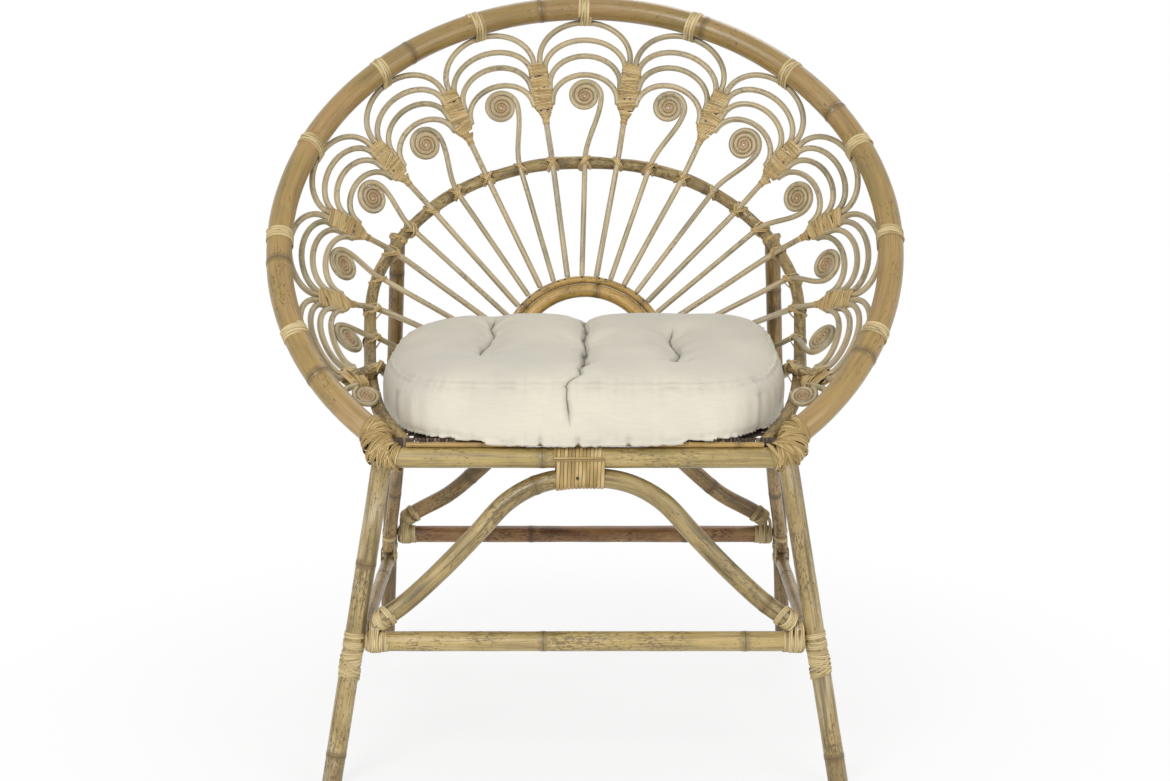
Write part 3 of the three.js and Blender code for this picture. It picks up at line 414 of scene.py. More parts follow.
def spoke_start(index, crossing):
    """Where a rib or scroll rod starts: on the heart ring, the bent rail or the hoop."""
    if abs(index) > LAST_RIB:
        return crossing + (crossing - rim_seat(index)).normalized() * 4
    if abs(index) > LAST_RING_SPOKE:
        share = 0.5
        while BENT_RAIL(share).x < BENT_RAIL_HALF_WIDTH * BENT_RAIL_START_SHARE:
            share += 0.001
        seat = BENT_RAIL(share) + HIGH * (BENT_POLE + ROD + CLEARANCE)
        return Vector((math.copysign(seat.x, index), seat.y, seat.z))
    ring = heart_place(HEART_OUTER, HEART_PITCH * index + HEART_TURN)
    outward = (ring - HEART_CENTRE).normalized()
    along = (crossing - ring).normalized()
    tilt = math.sqrt(max(0, 1 - along.dot(outward) ** 2))
    return ring + outward * (THIN_RING + CLEARANCE + ROD * tilt)


def rib_line(index):
    crossing = hoop_seat(index)
    start = spoke_start(index, crossing)
    end = fan_place(index, RIB_END_SHARE)
    return traced(spline([start, lerp(start, crossing, 0.5), crossing,
                          lerp(crossing, end, 0.5), end]), 60)


def tail_offset(arch, rib_radius):
    if arch < 2:
        return ROD + CLEARANCE / 2 + TAIL_PITCH * arch
    return rib_radius + ROD + CLEARANCE + TAIL_PITCH


def scallop_lines(centre, half_span, edge_radii, arches):
    """The nested arches of one scallop, from the outer one in."""
    lines = []
    for arch in range(arches):
        crown, spring = CROWN_SHARES[arch], SPRING_SHARES[arch]
        alone = arches == 1
        tail = TAIL_SHARES[1 if alone else arch]

        def foot(side, share, edge):
            rib_radius = edge_radii[0 if side < 0 else 1]
            beside = rib_radius + ROD + CLEARANCE
            offset = beside if alone else lerp(tail_offset(arch, rib_radius), beside, edge)
            rim, hoop = rim_seat(centre + side * half_span), hoop_seat(centre + side * half_span)
            line = (rim - hoop).normalized()
            across = lerp(rim, hoop, share) - fan_place(centre, share)
            half = (across - line * across.dot(line)).length
            return centre + side * half_span * (1 - offset / half), share

        def ends(side):
            end = [foot(side, tail, TAIL_EDGE_SHARES[arch])]
            if alone or arch == 1:
                end.append(foot(side, RIB_END_SHARE, 1))
            return end

        left, right = foot(-1, spring, 0)[0], foot(1, spring, 0)[0]
        places = ends(-1)
        for step in range(25):
            swing = math.pi * step / 24
            places.append((lerp(left, right, (1 - math.cos(swing)) / 2),
                           spring - (spring - crown) * math.sin(swing)))
        places += reversed(ends(1))
        lines.append(traced(spline([fan_place(*p) for p in places]), 160))
    return lines


def scroll_line(index, arches, scale, stem_radius):
    """Places, radii and darkening of a rod that runs up its spoke and winds into a flat scroll.
    Its middle is drawn darker and browner: staining, and partly painted shade between the tight
    inner turns.
    """
    crown = CROWN_SHARES[arches - 1]
    lateral = fan_across(index, crown).normalized()
    spoke = rim_seat(index) - hoop_seat(index)
    radial = spoke.normalized()
    skew = math.sqrt(1 - lateral.dot(radial) ** 2)
    corner = abs(index) > LAST_RIB
    reach = (SCROLL_RADIUS + SCROLL_ROD) * scale
    share = crown + (ROD + CLEARANCE + reach / skew) / spoke.length
    centre = fan_place(index, share) + hoop_sides(index)[2] * (7 if corner else 0)
    lateral = square_to(radial, lateral)
    if index > LAST_RIB:
        lateral.negate()
    crossing = hoop_seat(index, (SCROLL_ROD * scale - CLEARANCE / 2) if corner
                         else ROD + CLEARANCE / 2)
    start = spoke_start(index, crossing)
    places = [lerp(start, crossing, i / 4) for i in range(4)]
    rise = (crossing - centre).length
    places += [crossing + radial * rise * s + lateral * SCROLL_RADIUS * scale
               * smoothstep(s, 0, 1) for s in np.arange(8) / 8]
    stem = len(places)
    radii = [stem_radius * scale] * stem
    stain_and_shade_shares = [0.0] * stem
    for i in range(SCROLL_TURNS * 20 + 10):
        n = i / 20
        angle = 2 * math.pi * n
        out = lateral * math.cos(angle) + radial * math.sin(angle)
        places.append(centre + out * (SCROLL_RADIUS - 8 * n + 0.72 * n * n) * scale)
        # half the gap between the turns of the frame's scroll is filled on either side
        radii.append((stem_radius - 0.72 * n + 0.33 * smoothstep(n, 0, 0.4)
                      + 0.55 * smoothstep(n, 3.9, 4.5)) * scale)
        # darker and browner towards the middle: staining, and partly painted shade between the
        # tight turns
        stain_and_shade_shares.append(0.62 * smoothstep(n, 0.4, 3.6))
    return places, radii, stain_and_shade_shares


FRONT_LEG_TOP = RAIL_HEIGHT - RAIL_POLE - CLEARANCE


def front_leg_place(side, height):
    share = height / FRONT_LEG_TOP
    return Vector((side * lerp(FRONT_FOOT[0], FRONT_LEG_TOP_HALF, share),
                   FRONT_FOOT[1] * (1 - share), height))


def rear_leg_end():
    hoop = hoop_place(REAR_LEG_INDEX)
    up = hoop - REAR_FOOT
    behind = facing(up.cross(hoop_run(REAR_LEG_INDEX)).normalized(), -FRONT)
    return hoop + behind * REAR_LEG_APART + up.normalized() * 4


REAR_LEG_TOP = rear_leg_end()


def rear_leg_place(side, height):
    place = lerp(REAR_FOOT, REAR_LEG_TOP, height / REAR_LEG_TOP.z)
    return Vector((side * place.x, place.y, place.z))


def shortened(a, b, gap_a, gap_b):
    along = (b - a).normalized()
    return a + along * gap_a, b - along * gap_b


def brace_line(shares, foot_a, foot_b, apex):
    half = (foot_b - foot_a) / 2
    middle = (foot_a + foot_b) / 2
    lift = apex - middle
    arms = {sign: [middle + half * sign * out + lift * up for out, up in ((1, 0), *shares)]
            for sign in (-1, 1)}
    return traced(spline(arms[-1] + [apex] + arms[1][::-1]))


def cross_brace(shares, place, inset, apex):
    """A brace between two legs, its feet on the stretcher."""
    leg = place(1, STRETCHER_HEIGHT)
    foot = Vector((leg.x - inset - BRACE, leg.y,
                   leg.z + STRETCHER + CLEARANCE + BRACE * BRACE_FOOT_LIFT))
    return brace_line(shares, Vector((-foot.x, foot.y, foot.z)), foot, apex)


def side_stretcher_ends(side):
    return shortened(front_leg_place(side, SIDE_STRETCHER_HEIGHT),
                     rear_leg_place(side, SIDE_STRETCHER_HEIGHT), *SIDE_STRETCHER_GAPS)


def side_brace(side):
    front, rear = side_stretcher_ends(side)
    lift = HIGH * (SIDE_POLE + CLEARANCE + SIDE_POLE * BRACE_FOOT_LIFT)
    inset = (SIDE_POLE + 4) / (rear - front).length
    feet = lerp(front, rear, inset) + lift, lerp(rear, front, inset) + lift
    middle = (feet[0] + feet[1]) / 2
    # its top leans in under the deck's edge, in front of the middle
    apex = Vector((side * (DECK_HALF_WIDTH + 3.4), middle.y - 36,
                   DECK_BOTTOM - CLEARANCE - SIDE_POLE + 3.6))
    return brace_line(SIDE_BRACE_SHARES, *feet, apex)


FRONT_APEX = Vector((0, 0, RAIL_HEIGHT - RAIL_POLE - BRACE - CLEARANCE))
REAR_APEX = Vector((0, REAR_RAIL_DEPTH, REAR_RAIL_HEIGHT - REAR_RAIL - CLEARANCE - BRACE))
FRONT_BRACE_LINE = cross_brace(FRONT_BRACE_SHARES, front_leg_place, FRONT_LEG + 4, FRONT_APEX)
REAR_BRACE_LINE = cross_brace(REAR_BRACE_SHARES, rear_leg_place, REAR_LEG, REAR_APEX)


# Shaping

KNOT_STEPS = (-9, -6, -4, -2.6, -1.6, -0.9, -0.3, 0.3, 0.9, 1.6, 2.6, 4, 6, 9)


def to_metres(points):
    return (np.array(points) + np.array(SHIFT)) * MM


def to_layout(points):
    return points / MM - np.array(SHIFT)


def distances(line):
    """How far along its line each place lies."""
    steps = np.linalg.norm(np.diff(line, axis=0), axis=1)
    return np.concatenate([[0], np.cumsum(steps)])


def read_off(at, marks, table):
    """Every column of a table, read off between its rows."""
    return np.stack([np.interp(at, marks, column) for column in table.T], axis=1)


def rolling(*coordinates):
    """Smooth noise from -1 to 1 at a row of places."""
    return np.array([noise.noise(Vector(place)) for place in np.broadcast(*coordinates)])


def stations(line, step, knots):
    """Even places along a line, closer together near its ends and its culm nodes."""
    points = np.array(line)
    marks = distances(points)
    length = marks[-1]
    wanted = list(np.linspace(0, length, max(2, round(length / step)) + 1))
    wanted += [0.7, 1.6, length - 1.6, length - 0.7]
    wanted += [k + d for k in knots for d in KNOT_STEPS]
    kept = [0.0]
    for mark in sorted(w for w in wanted if 0 <= w <= length):
        if mark - kept[-1] > 0.25 and (length - mark > 0.25 or mark == length):
            kept.append(mark)
    kept = np.array(kept)
    return read_off(kept, marks, points), kept, marks


def select_only(*objects):
    bpy.ops.object.select_all(action="DESELECT")
    for obj in objects:
        obj.select_set(True)
    if objects:
        bpy.context.view_layer.objects.active = objects[0]


def shell(obj, close_ends):
    """Closes open ends, turns all faces outward and shades the piece smooth."""
    select_only(obj)
    bpy.ops.object.mode_set(mode="EDIT")
    bpy.ops.mesh.select_all(action="SELECT")
    if close_ends:
        bpy.ops.mesh.fill_holes(sides=0)
        bpy.ops.mesh.select_all(action="SELECT")
    bpy.ops.mesh.normals_make_consistent(inside=False)
    bpy.ops.object.mode_set(mode="OBJECT")
    bpy.ops.object.shade_smooth_by_angle(angle=SMOOTH_ANGLE)


def settle(obj, name, *nodes):
    """Gives a finished piece its material, made once, hangs it under the root body and hides
    the frame's parts that it stands for.
    """
    slot, paint, settings = MATERIALS[name]
    material = bpy.data.materials.get(name)
    if not material:
        material = bpy.data.materials.new(name)
        paint(empty_tree(material), **settings)
    obj.data.materials.clear()
    obj.data.materials.append(material)
    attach(obj, "root")
    if nodes:
        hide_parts(*nodes)
    return obj


def store(mesh, name, values):
    kind, field = ("FLOAT_VECTOR", "vector") if values.ndim == 2 else ("FLOAT", "value")
    layer = mesh.attributes.new(name, kind, "POINT")
    layer.data.foreach_set(field, values.astype(np.float32).ravel())


def grow_poles(name, finish, nodes, runs, step=5.0, corners=12, seed=1.0, wobble=0.02,
               level_feet=False):
    """Rattan poles as bevelled curves, made one mesh. Each run is a line, its radius in
    millimetres or a list of them, the places of its culm nodes along it, and how much darker it
    is drawn: staining, with painted shade on the liner and partly in the scrolls. The attributes
    grain, knot, tint and stain_and_shade carry the place along and round a pole, the distance to
    its nearest node, a shade of its own and how dark it is."""
    swell = bpy.context.scene.chair_poles.knot_swell
    select_only()
    bpy.ops.object.add(type="CURVE", location=(0, 0, 0))
    obj = bpy.context.object
    obj.name = name
    curve = obj.data
    curve.dimensions = "3D"
    curve.twist_mode = "MINIMUM"
    curve.bevel_depth = MM
    curve.bevel_resolution = (corners - 4) // 2
    curve.use_fill_caps = False
    layers = {"grain": [], "knot": [], "tint": [], "stain_and_shade": []}
    turn = np.linspace(0, 2 * math.pi, corners, endpoint=False)
    for number, (line, radius, knots, *darkening) in enumerate(runs):
        places, marks, fine = stations(line, step, knots)
        radii = np.interp(marks, fine, radius) if np.ndim(radius) \
            else np.full(len(marks), float(radius))
        own = seed * 7.31 + number * 3.17
        radii = radii * (1 + wobble * rolling(marks / 55, own, 0))
        near = np.full(len(marks), 50.0)
        for k in knots:
            d = marks - k
            radii *= 1 + swell * bell(d, 2.6) - 0.7 * swell * bell(d, 0.7)
            near = np.minimum(near, np.abs(d))
        radii *= 1 - 0.10 * bell(np.minimum(marks, marks[-1] - marks), 0.6)
        run = curve.splines.new("POLY")
        run.points.add(len(places) - 1)
        run.points.foreach_set("co", np.c_[to_metres(places), np.ones(len(places))].ravel())
        run.points.foreach_set("radius", radii)
        ring = np.stack(np.broadcast_arrays(
            radii[:, None] * np.cos(turn), radii[:, None] * np.sin(turn), marks[:, None]), axis=2)
        darkened = np.interp(marks, fine, darkening[0]) if darkening else np.zeros(len(marks))
        layers["grain"].append(ring.reshape(-1, 3) * MM + own * np.array([0.11, 0.07, 0.31]))
        layers["knot"].append(np.repeat(near, corners) * MM)
        layers["tint"].append(np.repeat(0.5 + 0.5 * rolling(own * 1.7, 3.3, own),
                                        len(marks) * corners))
        layers["stain_and_shade"].append(np.repeat(darkened, corners))
    bpy.ops.object.convert(target="MESH")
    obj = bpy.context.object
    for layer, values in layers.items():
        store(obj.data, layer, np.concatenate(values))
    if level_feet:
        bpy.ops.object.mode_set(mode="EDIT")
        bpy.ops.mesh.select_all(action="SELECT")
        bpy.ops.mesh.bisect(plane_co=(0, 0, 0), plane_no=(0, 0, 1), clear_inner=True)
        bpy.ops.object.mode_set(mode="OBJECT")
    shell(obj, close_ends=True)
    return settle(obj, finish, *nodes)


def new_piece(name, places, faces):
    mesh = bpy.data.meshes.new(name)
    mesh.from_pydata(places, [], faces)
    obj = bpy.data.objects.new(name, mesh)
    bpy.context.collection.objects.link(obj)
    return obj


STRIP_SECTION = np.array([(-0.5, -0.15), (-0.43, 0.72), (0.0, 1.0), (0.43, 0.72), (0.5, -0.15)])


def lay_strips(name, finish, nodes, windings, seed=1.0):
    """Flat cane strips in mesh code, because a strip lies on what it is wound round. Each
    winding is its places, its outward directions, its width and its thickness."""
    count = len(STRIP_SECTION)
    corners, faces, grain, tint = [], [], [], []
    offset = 0
    for number, (places, outs, width, thickness) in enumerate(windings):
        points, out = np.array(places), np.array(outs)
        along = np.gradient(points, axis=0)
        along /= np.linalg.norm(along, axis=1)[:, None]
        across = np.cross(along, out)
        across /= np.linalg.norm(across, axis=1)[:, None]
        wide, thick = (STRIP_SECTION * (width, thickness)).T
        ring = points[:, None] + across[:, None] * wide[None, :, None] \
            + out[:, None] * thick[None, :, None]
        corners.append(ring.reshape(-1, 3))
        end = offset + (len(points) - 1) * count
        for a in range(offset, end, count):
            faces += [(a + i, a + (i + 1) % count, a + count + (i + 1) % count, a + count + i)
                      for i in range(count)]
        faces.append(tuple(range(offset, offset + count)))
        faces.append(tuple(range(end + count - 1, end - 1, -1)))
        own = seed * 5.13 + number * 2.71
        marks = distances(points)
        flat = np.stack(np.broadcast_arrays(wide[None, :], thick[None, :], marks[:, None]),
                        axis=2)
        grain.append(flat.reshape(-1, 3) * MM + own * np.array([0.13, 0.05, 0.29]))
        tint.append(np.repeat(0.5 + 0.5 * rolling(marks / 30, own, 1.5), count))
        offset = end + count
    obj = new_piece(name, to_metres(np.concatenate(corners)).tolist(), faces)
    store(obj.data, "grain", np.concatenate(grain))
    store(obj.data, "tint", np.concatenate(tint))
    store(obj.data, "knot", np.full(offset, 0.05))
    shell(obj, close_ends=False)
    return settle(obj, finish, *nodes)


def round_poles(circles, standoff, count):
    """Even places, and the directions outward, on a cord drawn tight round some poles."""
    dots = [(x + (r + standoff) * math.cos(a), y + (r + standoff) * math.sin(a))
            for x, y, r in circles for a in np.linspace(0, 2 * math.pi, 40, endpoint=False)]
    dots = sorted(set((round(x, 4), round(y, 4)) for x, y in dots))

    def chain(points):
        kept = []
        for p in points:
            while len(kept) > 1 and ((kept[-1][0] - kept[-2][0]) * (p[1] - kept[-2][1])
                                     - (kept[-1][1] - kept[-2][1]) * (p[0] - kept[-2][0])) <= 0:
                kept.pop()
            kept.append(p)
        return kept[:-1]

    hull = chain(dots) + chain(dots[::-1])
    start = max(range(len(hull)), key=lambda i: hull[i][0])
    hull = np.array(hull[start:] + hull[:start] + [hull[start]])
    marks = distances(hull)
    at = np.linspace(0, marks[-1], count, endpoint=False)
    xy = read_off(at, marks, hull)
    run = np.roll(xy, -1, axis=0) - np.roll(xy, 1, axis=0)
    out = np.stack([run[:, 1], -run[:, 0]], axis=1)
    return xy, out / np.linalg.norm(out, axis=1)[:, None]


def wind(centre, axis, across, out, circles, turns, pitch, strip, slant=0.0, standoff=0.1,
         steps=18, phase=0, tuck=0.8, pinch=0.0):
    """One strip, a width and a thickness, wound round poles. circles, in the plane of across
    and out, may be a function of the share of the winding that is done. slant tips each turn
    along the axis, and pinch draws the turns together on one side."""
    places, outs = [], []
    total = int(turns * steps)
    sections = {}
    for k in range(total + 1):
        turn = min(k // steps, int(turns))
        if turn not in sections:
            share = turn / max(turns, 1)
            sections[turn] = round_poles(circles(share) if callable(circles) else circles,
                                         standoff, steps)
        xy, normals = sections[turn]
        i = (k + phase) % steps
        tip = xy[i, 0] / np.abs(xy[:, 0]).max()
        advance = pitch * (k / steps - turns / 2) * (1 - pinch * tip) + slant * tip
        sink = tuck if k in (0, total) else 0
        normal = (across * normals[i, 0] + out * normals[i, 1]).normalized()
        places.append(centre + across * xy[i, 0] + out * xy[i, 1] + axis * advance
                      - normal * sink)
        outs.append(normal)
    return (places, outs, *strip)


# Materials

def add(tree, kind, inputs=None, stops=(), **settings):
    """Adds one node: its settings, its inputs as values or as sockets to link, and the stops
    of a ramp. A node given as an input stands for its first output in use."""
    node = tree.nodes.new("ShaderNode" + kind)
    for key, value in settings.items():
        setattr(node, key, value)
    for key, value in (inputs or {}).items():
        if isinstance(value, bpy.types.Node):
            value = next(socket for socket in value.outputs if socket.enabled)
        if isinstance(value, bpy.types.NodeSocket):
            tree.links.new(value, node.inputs[key])
        else:
            node.inputs[key].default_value = value
    if stops:
        elements = node.color_ramp.elements
        while len(elements) < len(stops):
            elements.new(1)
        for element, (position, colour) in zip(elements, stops):
            element.position = position
            element.color = colour if np.ndim(colour) else (colour, colour, colour, 1)
    return node


def empty_tree(owner):
    owner.use_nodes = True
    owner.node_tree.nodes.clear()
    return owner.node_tree


def shade(colour, factor, towards="#808080", mix=0.0):
    mixed = (c * (1 - mix) + t * mix for c, t in zip(colour, linear(towards)))
    return (*(min(max(c * factor, 0), 1) for c in mixed), 1)


def rattan_skin(tree, colour, roughness, tones, specks, streak=0.16, coat=0.12, patch_mm=90,
                painted_gloss_streaks=0.2, drawn=(1.0,), stain_and_shade_colour=None):
    """Rattan pole: tones drift along the culm, fine fibres run its length, painted gloss
    streaks of light and shade run along it, dark specks are weathering, and each culm node
    is a dark scar with a stained band."""
    base = shade(getattr(bpy.context.scene.chair_finishes, colour), *drawn)
    grain = add(tree, "Attribute", attribute_name="grain").outputs["Vector"]
    knot, tint, stain_and_shade = (add(tree, "Attribute", attribute_name=name).outputs["Fac"]
                         for name in ("knot", "tint", "stain_and_shade"))
    patch, fibre, band, speck = (
        add(tree, "TexNoise", {
            "Vector": add(tree, "Mapping", {"Vector": grain, "Scale": (wide, wide, long)}),
            "Scale": scale, "Detail": detail, "Roughness": rough})
        for wide, long, scale, detail, rough in (
            # patches of tone, longer than they are wide
            (2.2, 1.0, 1000 / patch_mm, 3.0, 0.6),
            # fibres, 0.8 mm apart, drawn coarser than real ones so that they show
            (1.0, 0.025, 620.0, 2.0, 0.7),
            # painted gloss streaks: light and dark bands, 5 mm wide, that run far along the culm
            (1.0, 0.06, 170.0, 2.0, 0.5),
            # specks, 1 to 4 mm, drawn out along the culm
            (1.0, 0.38, 430.0, 3.0, 0.65)))
    drift = add(tree, "Math", {0: tint, 1: 0.45, 2: patch}, operation="MULTIPLY_ADD")
    centred = add(tree, "Math", {0: drift, 1: 0.225}, operation="SUBTRACT")
    fibre_tone = add(tree, "ValToRGB", {"Fac": fibre},
                     ((0.30, 1 - 2.2 * streak), (0.5, 1.0), (0.75, 1.0)))
    # painted gloss: the bands between the streaks are darkened
    painted_gloss_tone = add(tree, "ValToRGB", {"Fac": band},
                    ((0.34, 1 - painted_gloss_streaks), (0.5, 0.97), (0.66, 1.0)))
    body = add(tree, "ValToRGB", {"Fac": centred},
               [(place, shade(base, *tone)) for place, *tone in tones])
    for tone in (fibre_tone, painted_gloss_tone):
        body = add(tree, "Mix", {"Factor": 1.0, 6: body, 7: tone}, data_type="RGBA",
                   blend_type="MULTIPLY")
    region = add(tree, "TexNoise", {"Vector": grain, "Scale": 16.0, "Detail": 2.0})
    gather = add(tree, "Math", {0: region, 1: 0.55, 2: speck}, operation="MULTIPLY_ADD")
    specked = add(tree, "ValToRGB", {"Fac": gather},
                  ((0.90 - 0.14 * specks, 0.0), (0.99 - 0.14 * specks, 0.85)))
    # culm node: a scar about 1.5 mm wide with a stain about 9 mm wide round it
    reach = add(tree, "Math", {0: knot}, operation="ABSOLUTE")
    ragged = add(tree, "Math", {0: speck, 1: -0.0075, 2: reach}, operation="MULTIPLY_ADD")
    ring, scar = (
        add(tree, "ValToRGB", {"Fac": add(tree, "Math", {0: gap, 1: scale},
                                          operation="MULTIPLY")}, stops)
        for gap, scale, stops in ((ragged, 100.0, ((0.0, 0.75), (0.12, 0.45), (0.5, 0.0))),
                                  (reach, 200.0, ((0.10, 0.6), (0.26, 0.0)))))
    # stain_and_shade mixes in a darker colour: staining on most poles, painted shade on the liner
    # and partly in the scrolls' inner turns
    darkened = shade(linear(stain_and_shade_colour), 1) if stain_and_shade_colour else shade(base, 0.36)
    for mask, dark in ((specked, shade(base, 0.30)), (ring, shade(base, 0.42)),
                       (scar, shade(base, 0.16)), (stain_and_shade, darkened)):
        body = add(tree, "Mix", {"Factor": mask, 6: body, 7: dark}, data_type="RGBA")
    rough = add(tree, "MapRange", {"Value": patch, "To Min": roughness - 0.07,
                                   "To Max": roughness + 0.12})
    relief = add(tree, "Bump", {"Height": fibre, "Strength": 0.35, "Distance": 0.0004})
    surface = add(tree, "BsdfPrincipled", {
        "Base Color": body, "Roughness": rough, "Normal": relief, "IOR": 1.5,
        "Coat Weight": coat, "Coat Roughness": 0.28})
    add(tree, "OutputMaterial", {"Surface": surface})


def strand_skin(tree, colour, tones, stretch, scale, fibre_tones, depth, roughness):
    """Flat strand: a shade of its own, fibres along its length, almost matt."""
    base = shade(getattr(bpy.context.scene.chair_finishes, colour), 1)
    grain = add(tree, "Attribute", attribute_name="grain").outputs["Vector"]
    tint = add(tree, "Attribute", attribute_name="tint").outputs["Fac"]
    tone = add(tree, "ValToRGB", {"Fac": tint},
               [(place, shade(base, *tone)) for place, *tone in tones])
    place = add(tree, "Mapping", {"Vector": grain, "Scale": (1.0, 1.0, stretch)})
    fibre = add(tree, "TexNoise", {"Vector": place, "Scale": scale, "Detail": 2.0})
    fibre_tone = add(tree, "ValToRGB", {"Fac": fibre}, fibre_tones)
    body = add(tree, "Mix", {"Factor": 1.0, 6: tone, 7: fibre_tone}, data_type="RGBA",
               blend_type="MULTIPLY")
    relief = add(tree, "Bump", {"Height": fibre, "Strength": 0.5, "Distance": depth})
    surface = add(tree, "BsdfPrincipled", {
        "Base Color": body, "Roughness": roughness, "Normal": relief})
    add(tree, "OutputMaterial", {"Surface": surface})


def linen_cloth(tree):
    """A plain weave with slubs and a soft sheen, with painted shade where seams pull it in."""
    base = shade(bpy.context.scene.chair_finishes.linen, 1)
    place = add(tree, "TexCoord").outputs["Object"]
    crease_shade, gap, mask = (add(tree, "Attribute", attribute_name=name).outputs["Fac"]
                       for name in ("crease_shade", "line_gap", "line_mask"))
    # threads 0.9 mm apart, coarser than real linen so that they show
    threads = [add(tree, "TexWave", {
        "Vector": place, "Scale": 1100 / 6.2832, "Distortion": 1.2, "Detail": 1.0,
        "Detail Scale": 3.0}, bands_direction=axis).outputs["Fac"] for axis in ("X", "Y")]
    weave = add(tree, "Math", {0: threads[0], 1: threads[1]}, operation="MULTIPLY")
    slub_place = add(tree, "Mapping", {"Vector": place, "Scale": (0.12, 1.0, 1.0)})
    slub = add(tree, "TexNoise", {"Vector": slub_place, "Scale": 420.0, "Detail": 2.0})
    cloud = add(tree, "TexNoise", {"Vector": place, "Scale": 9.0, "Detail": 2.0})
    tone = add(tree, "ValToRGB", {"Fac": cloud}, ((0.35, shade(base, 0.97, "#cfcabd", 0.5)),
                                                  (0.65, shade(base, 1.02, "#dcd5c2", 0.5))))
    slub_tone = add(tree, "ValToRGB", {"Fac": slub}, ((0.35, 0.975), (0.65, 1.015)))
    cloth = add(tree, "Mix", {"Factor": 1.0, 6: tone, 7: slub_tone}, data_type="RGBA",
                blend_type="MULTIPLY")
    # painted shade in the creases, from the crease_shade attribute
    depth = add(tree, "ValToRGB", {"Fac": crease_shade}, ((0.0, 0.0), (1.0, 0.66)))
    # painted shade, nearly black, along the sewn lines, about 1.2 mm wide, where the cloth is drawn
    # right in
    gap = add(tree, "Math", {0: gap}, operation="ABSOLUTE")
    sewn = add(tree, "MapRange", {"Value": gap, "From Min": 0.0004, "From Max": 0.0014,
                                  "To Min": 0.75, "To Max": 0.0})
    sewn = add(tree, "Math", {0: sewn, 1: mask}, operation="MULTIPLY")
    for factor, dark in ((depth, 0.42), (sewn, 0.14)):
        cloth = add(tree, "Mix", {"Factor": factor, 6: cloth, 7: shade(base, dark)},
                    data_type="RGBA")
    height = add(tree, "Math", {0: slub, 1: 0.5, 2: weave}, operation="MULTIPLY_ADD")
    relief = add(tree, "Bump", {"Height": height, "Strength": 0.22, "Distance": 0.0003})
    surface = add(tree, "BsdfPrincipled", {
        "Base Color": cloth, "Roughness": 0.9, "Normal": relief, "Sheen Weight": 0.25,
        "Sheen Roughness": 0.5, "IOR": 1.45, "Specular IOR Level": 0.25})
    add(tree, "OutputMaterial", {"Surface": surface})


def nail_steel(tree):
    """Blackened steel, worn to grey in spots."""
    place = add(tree, "TexCoord").outputs["Object"]
    wear = add(tree, "TexNoise", {"Vector": place, "Scale": 900.0})
    tone = add(tree, "ValToRGB", {"Fac": wear}, ((0.4, shade(linear("#2b2724"), 1)),
                                                 (0.7, shade(linear("#6a625a"), 1))))
    surface = add(tree, "BsdfPrincipled", {"Base Color": tone, "Roughness": 0.45,
                                           "Metallic": 0.9})
    add(tree, "OutputMaterial", {"Surface": surface})


CANE = {
    "tones": ((0.25, 0.78, "#a58a55", 0.4), (0.5, 1.0), (0.75, 1.12, "#dccb9f", 0.4)),
    "stretch": 0.03, "scale": 1500.0, "fibre_tones": ((0.3, 0.72), (0.55, 1.0)),
    "depth": 0.0003, "roughness": 0.58,
}
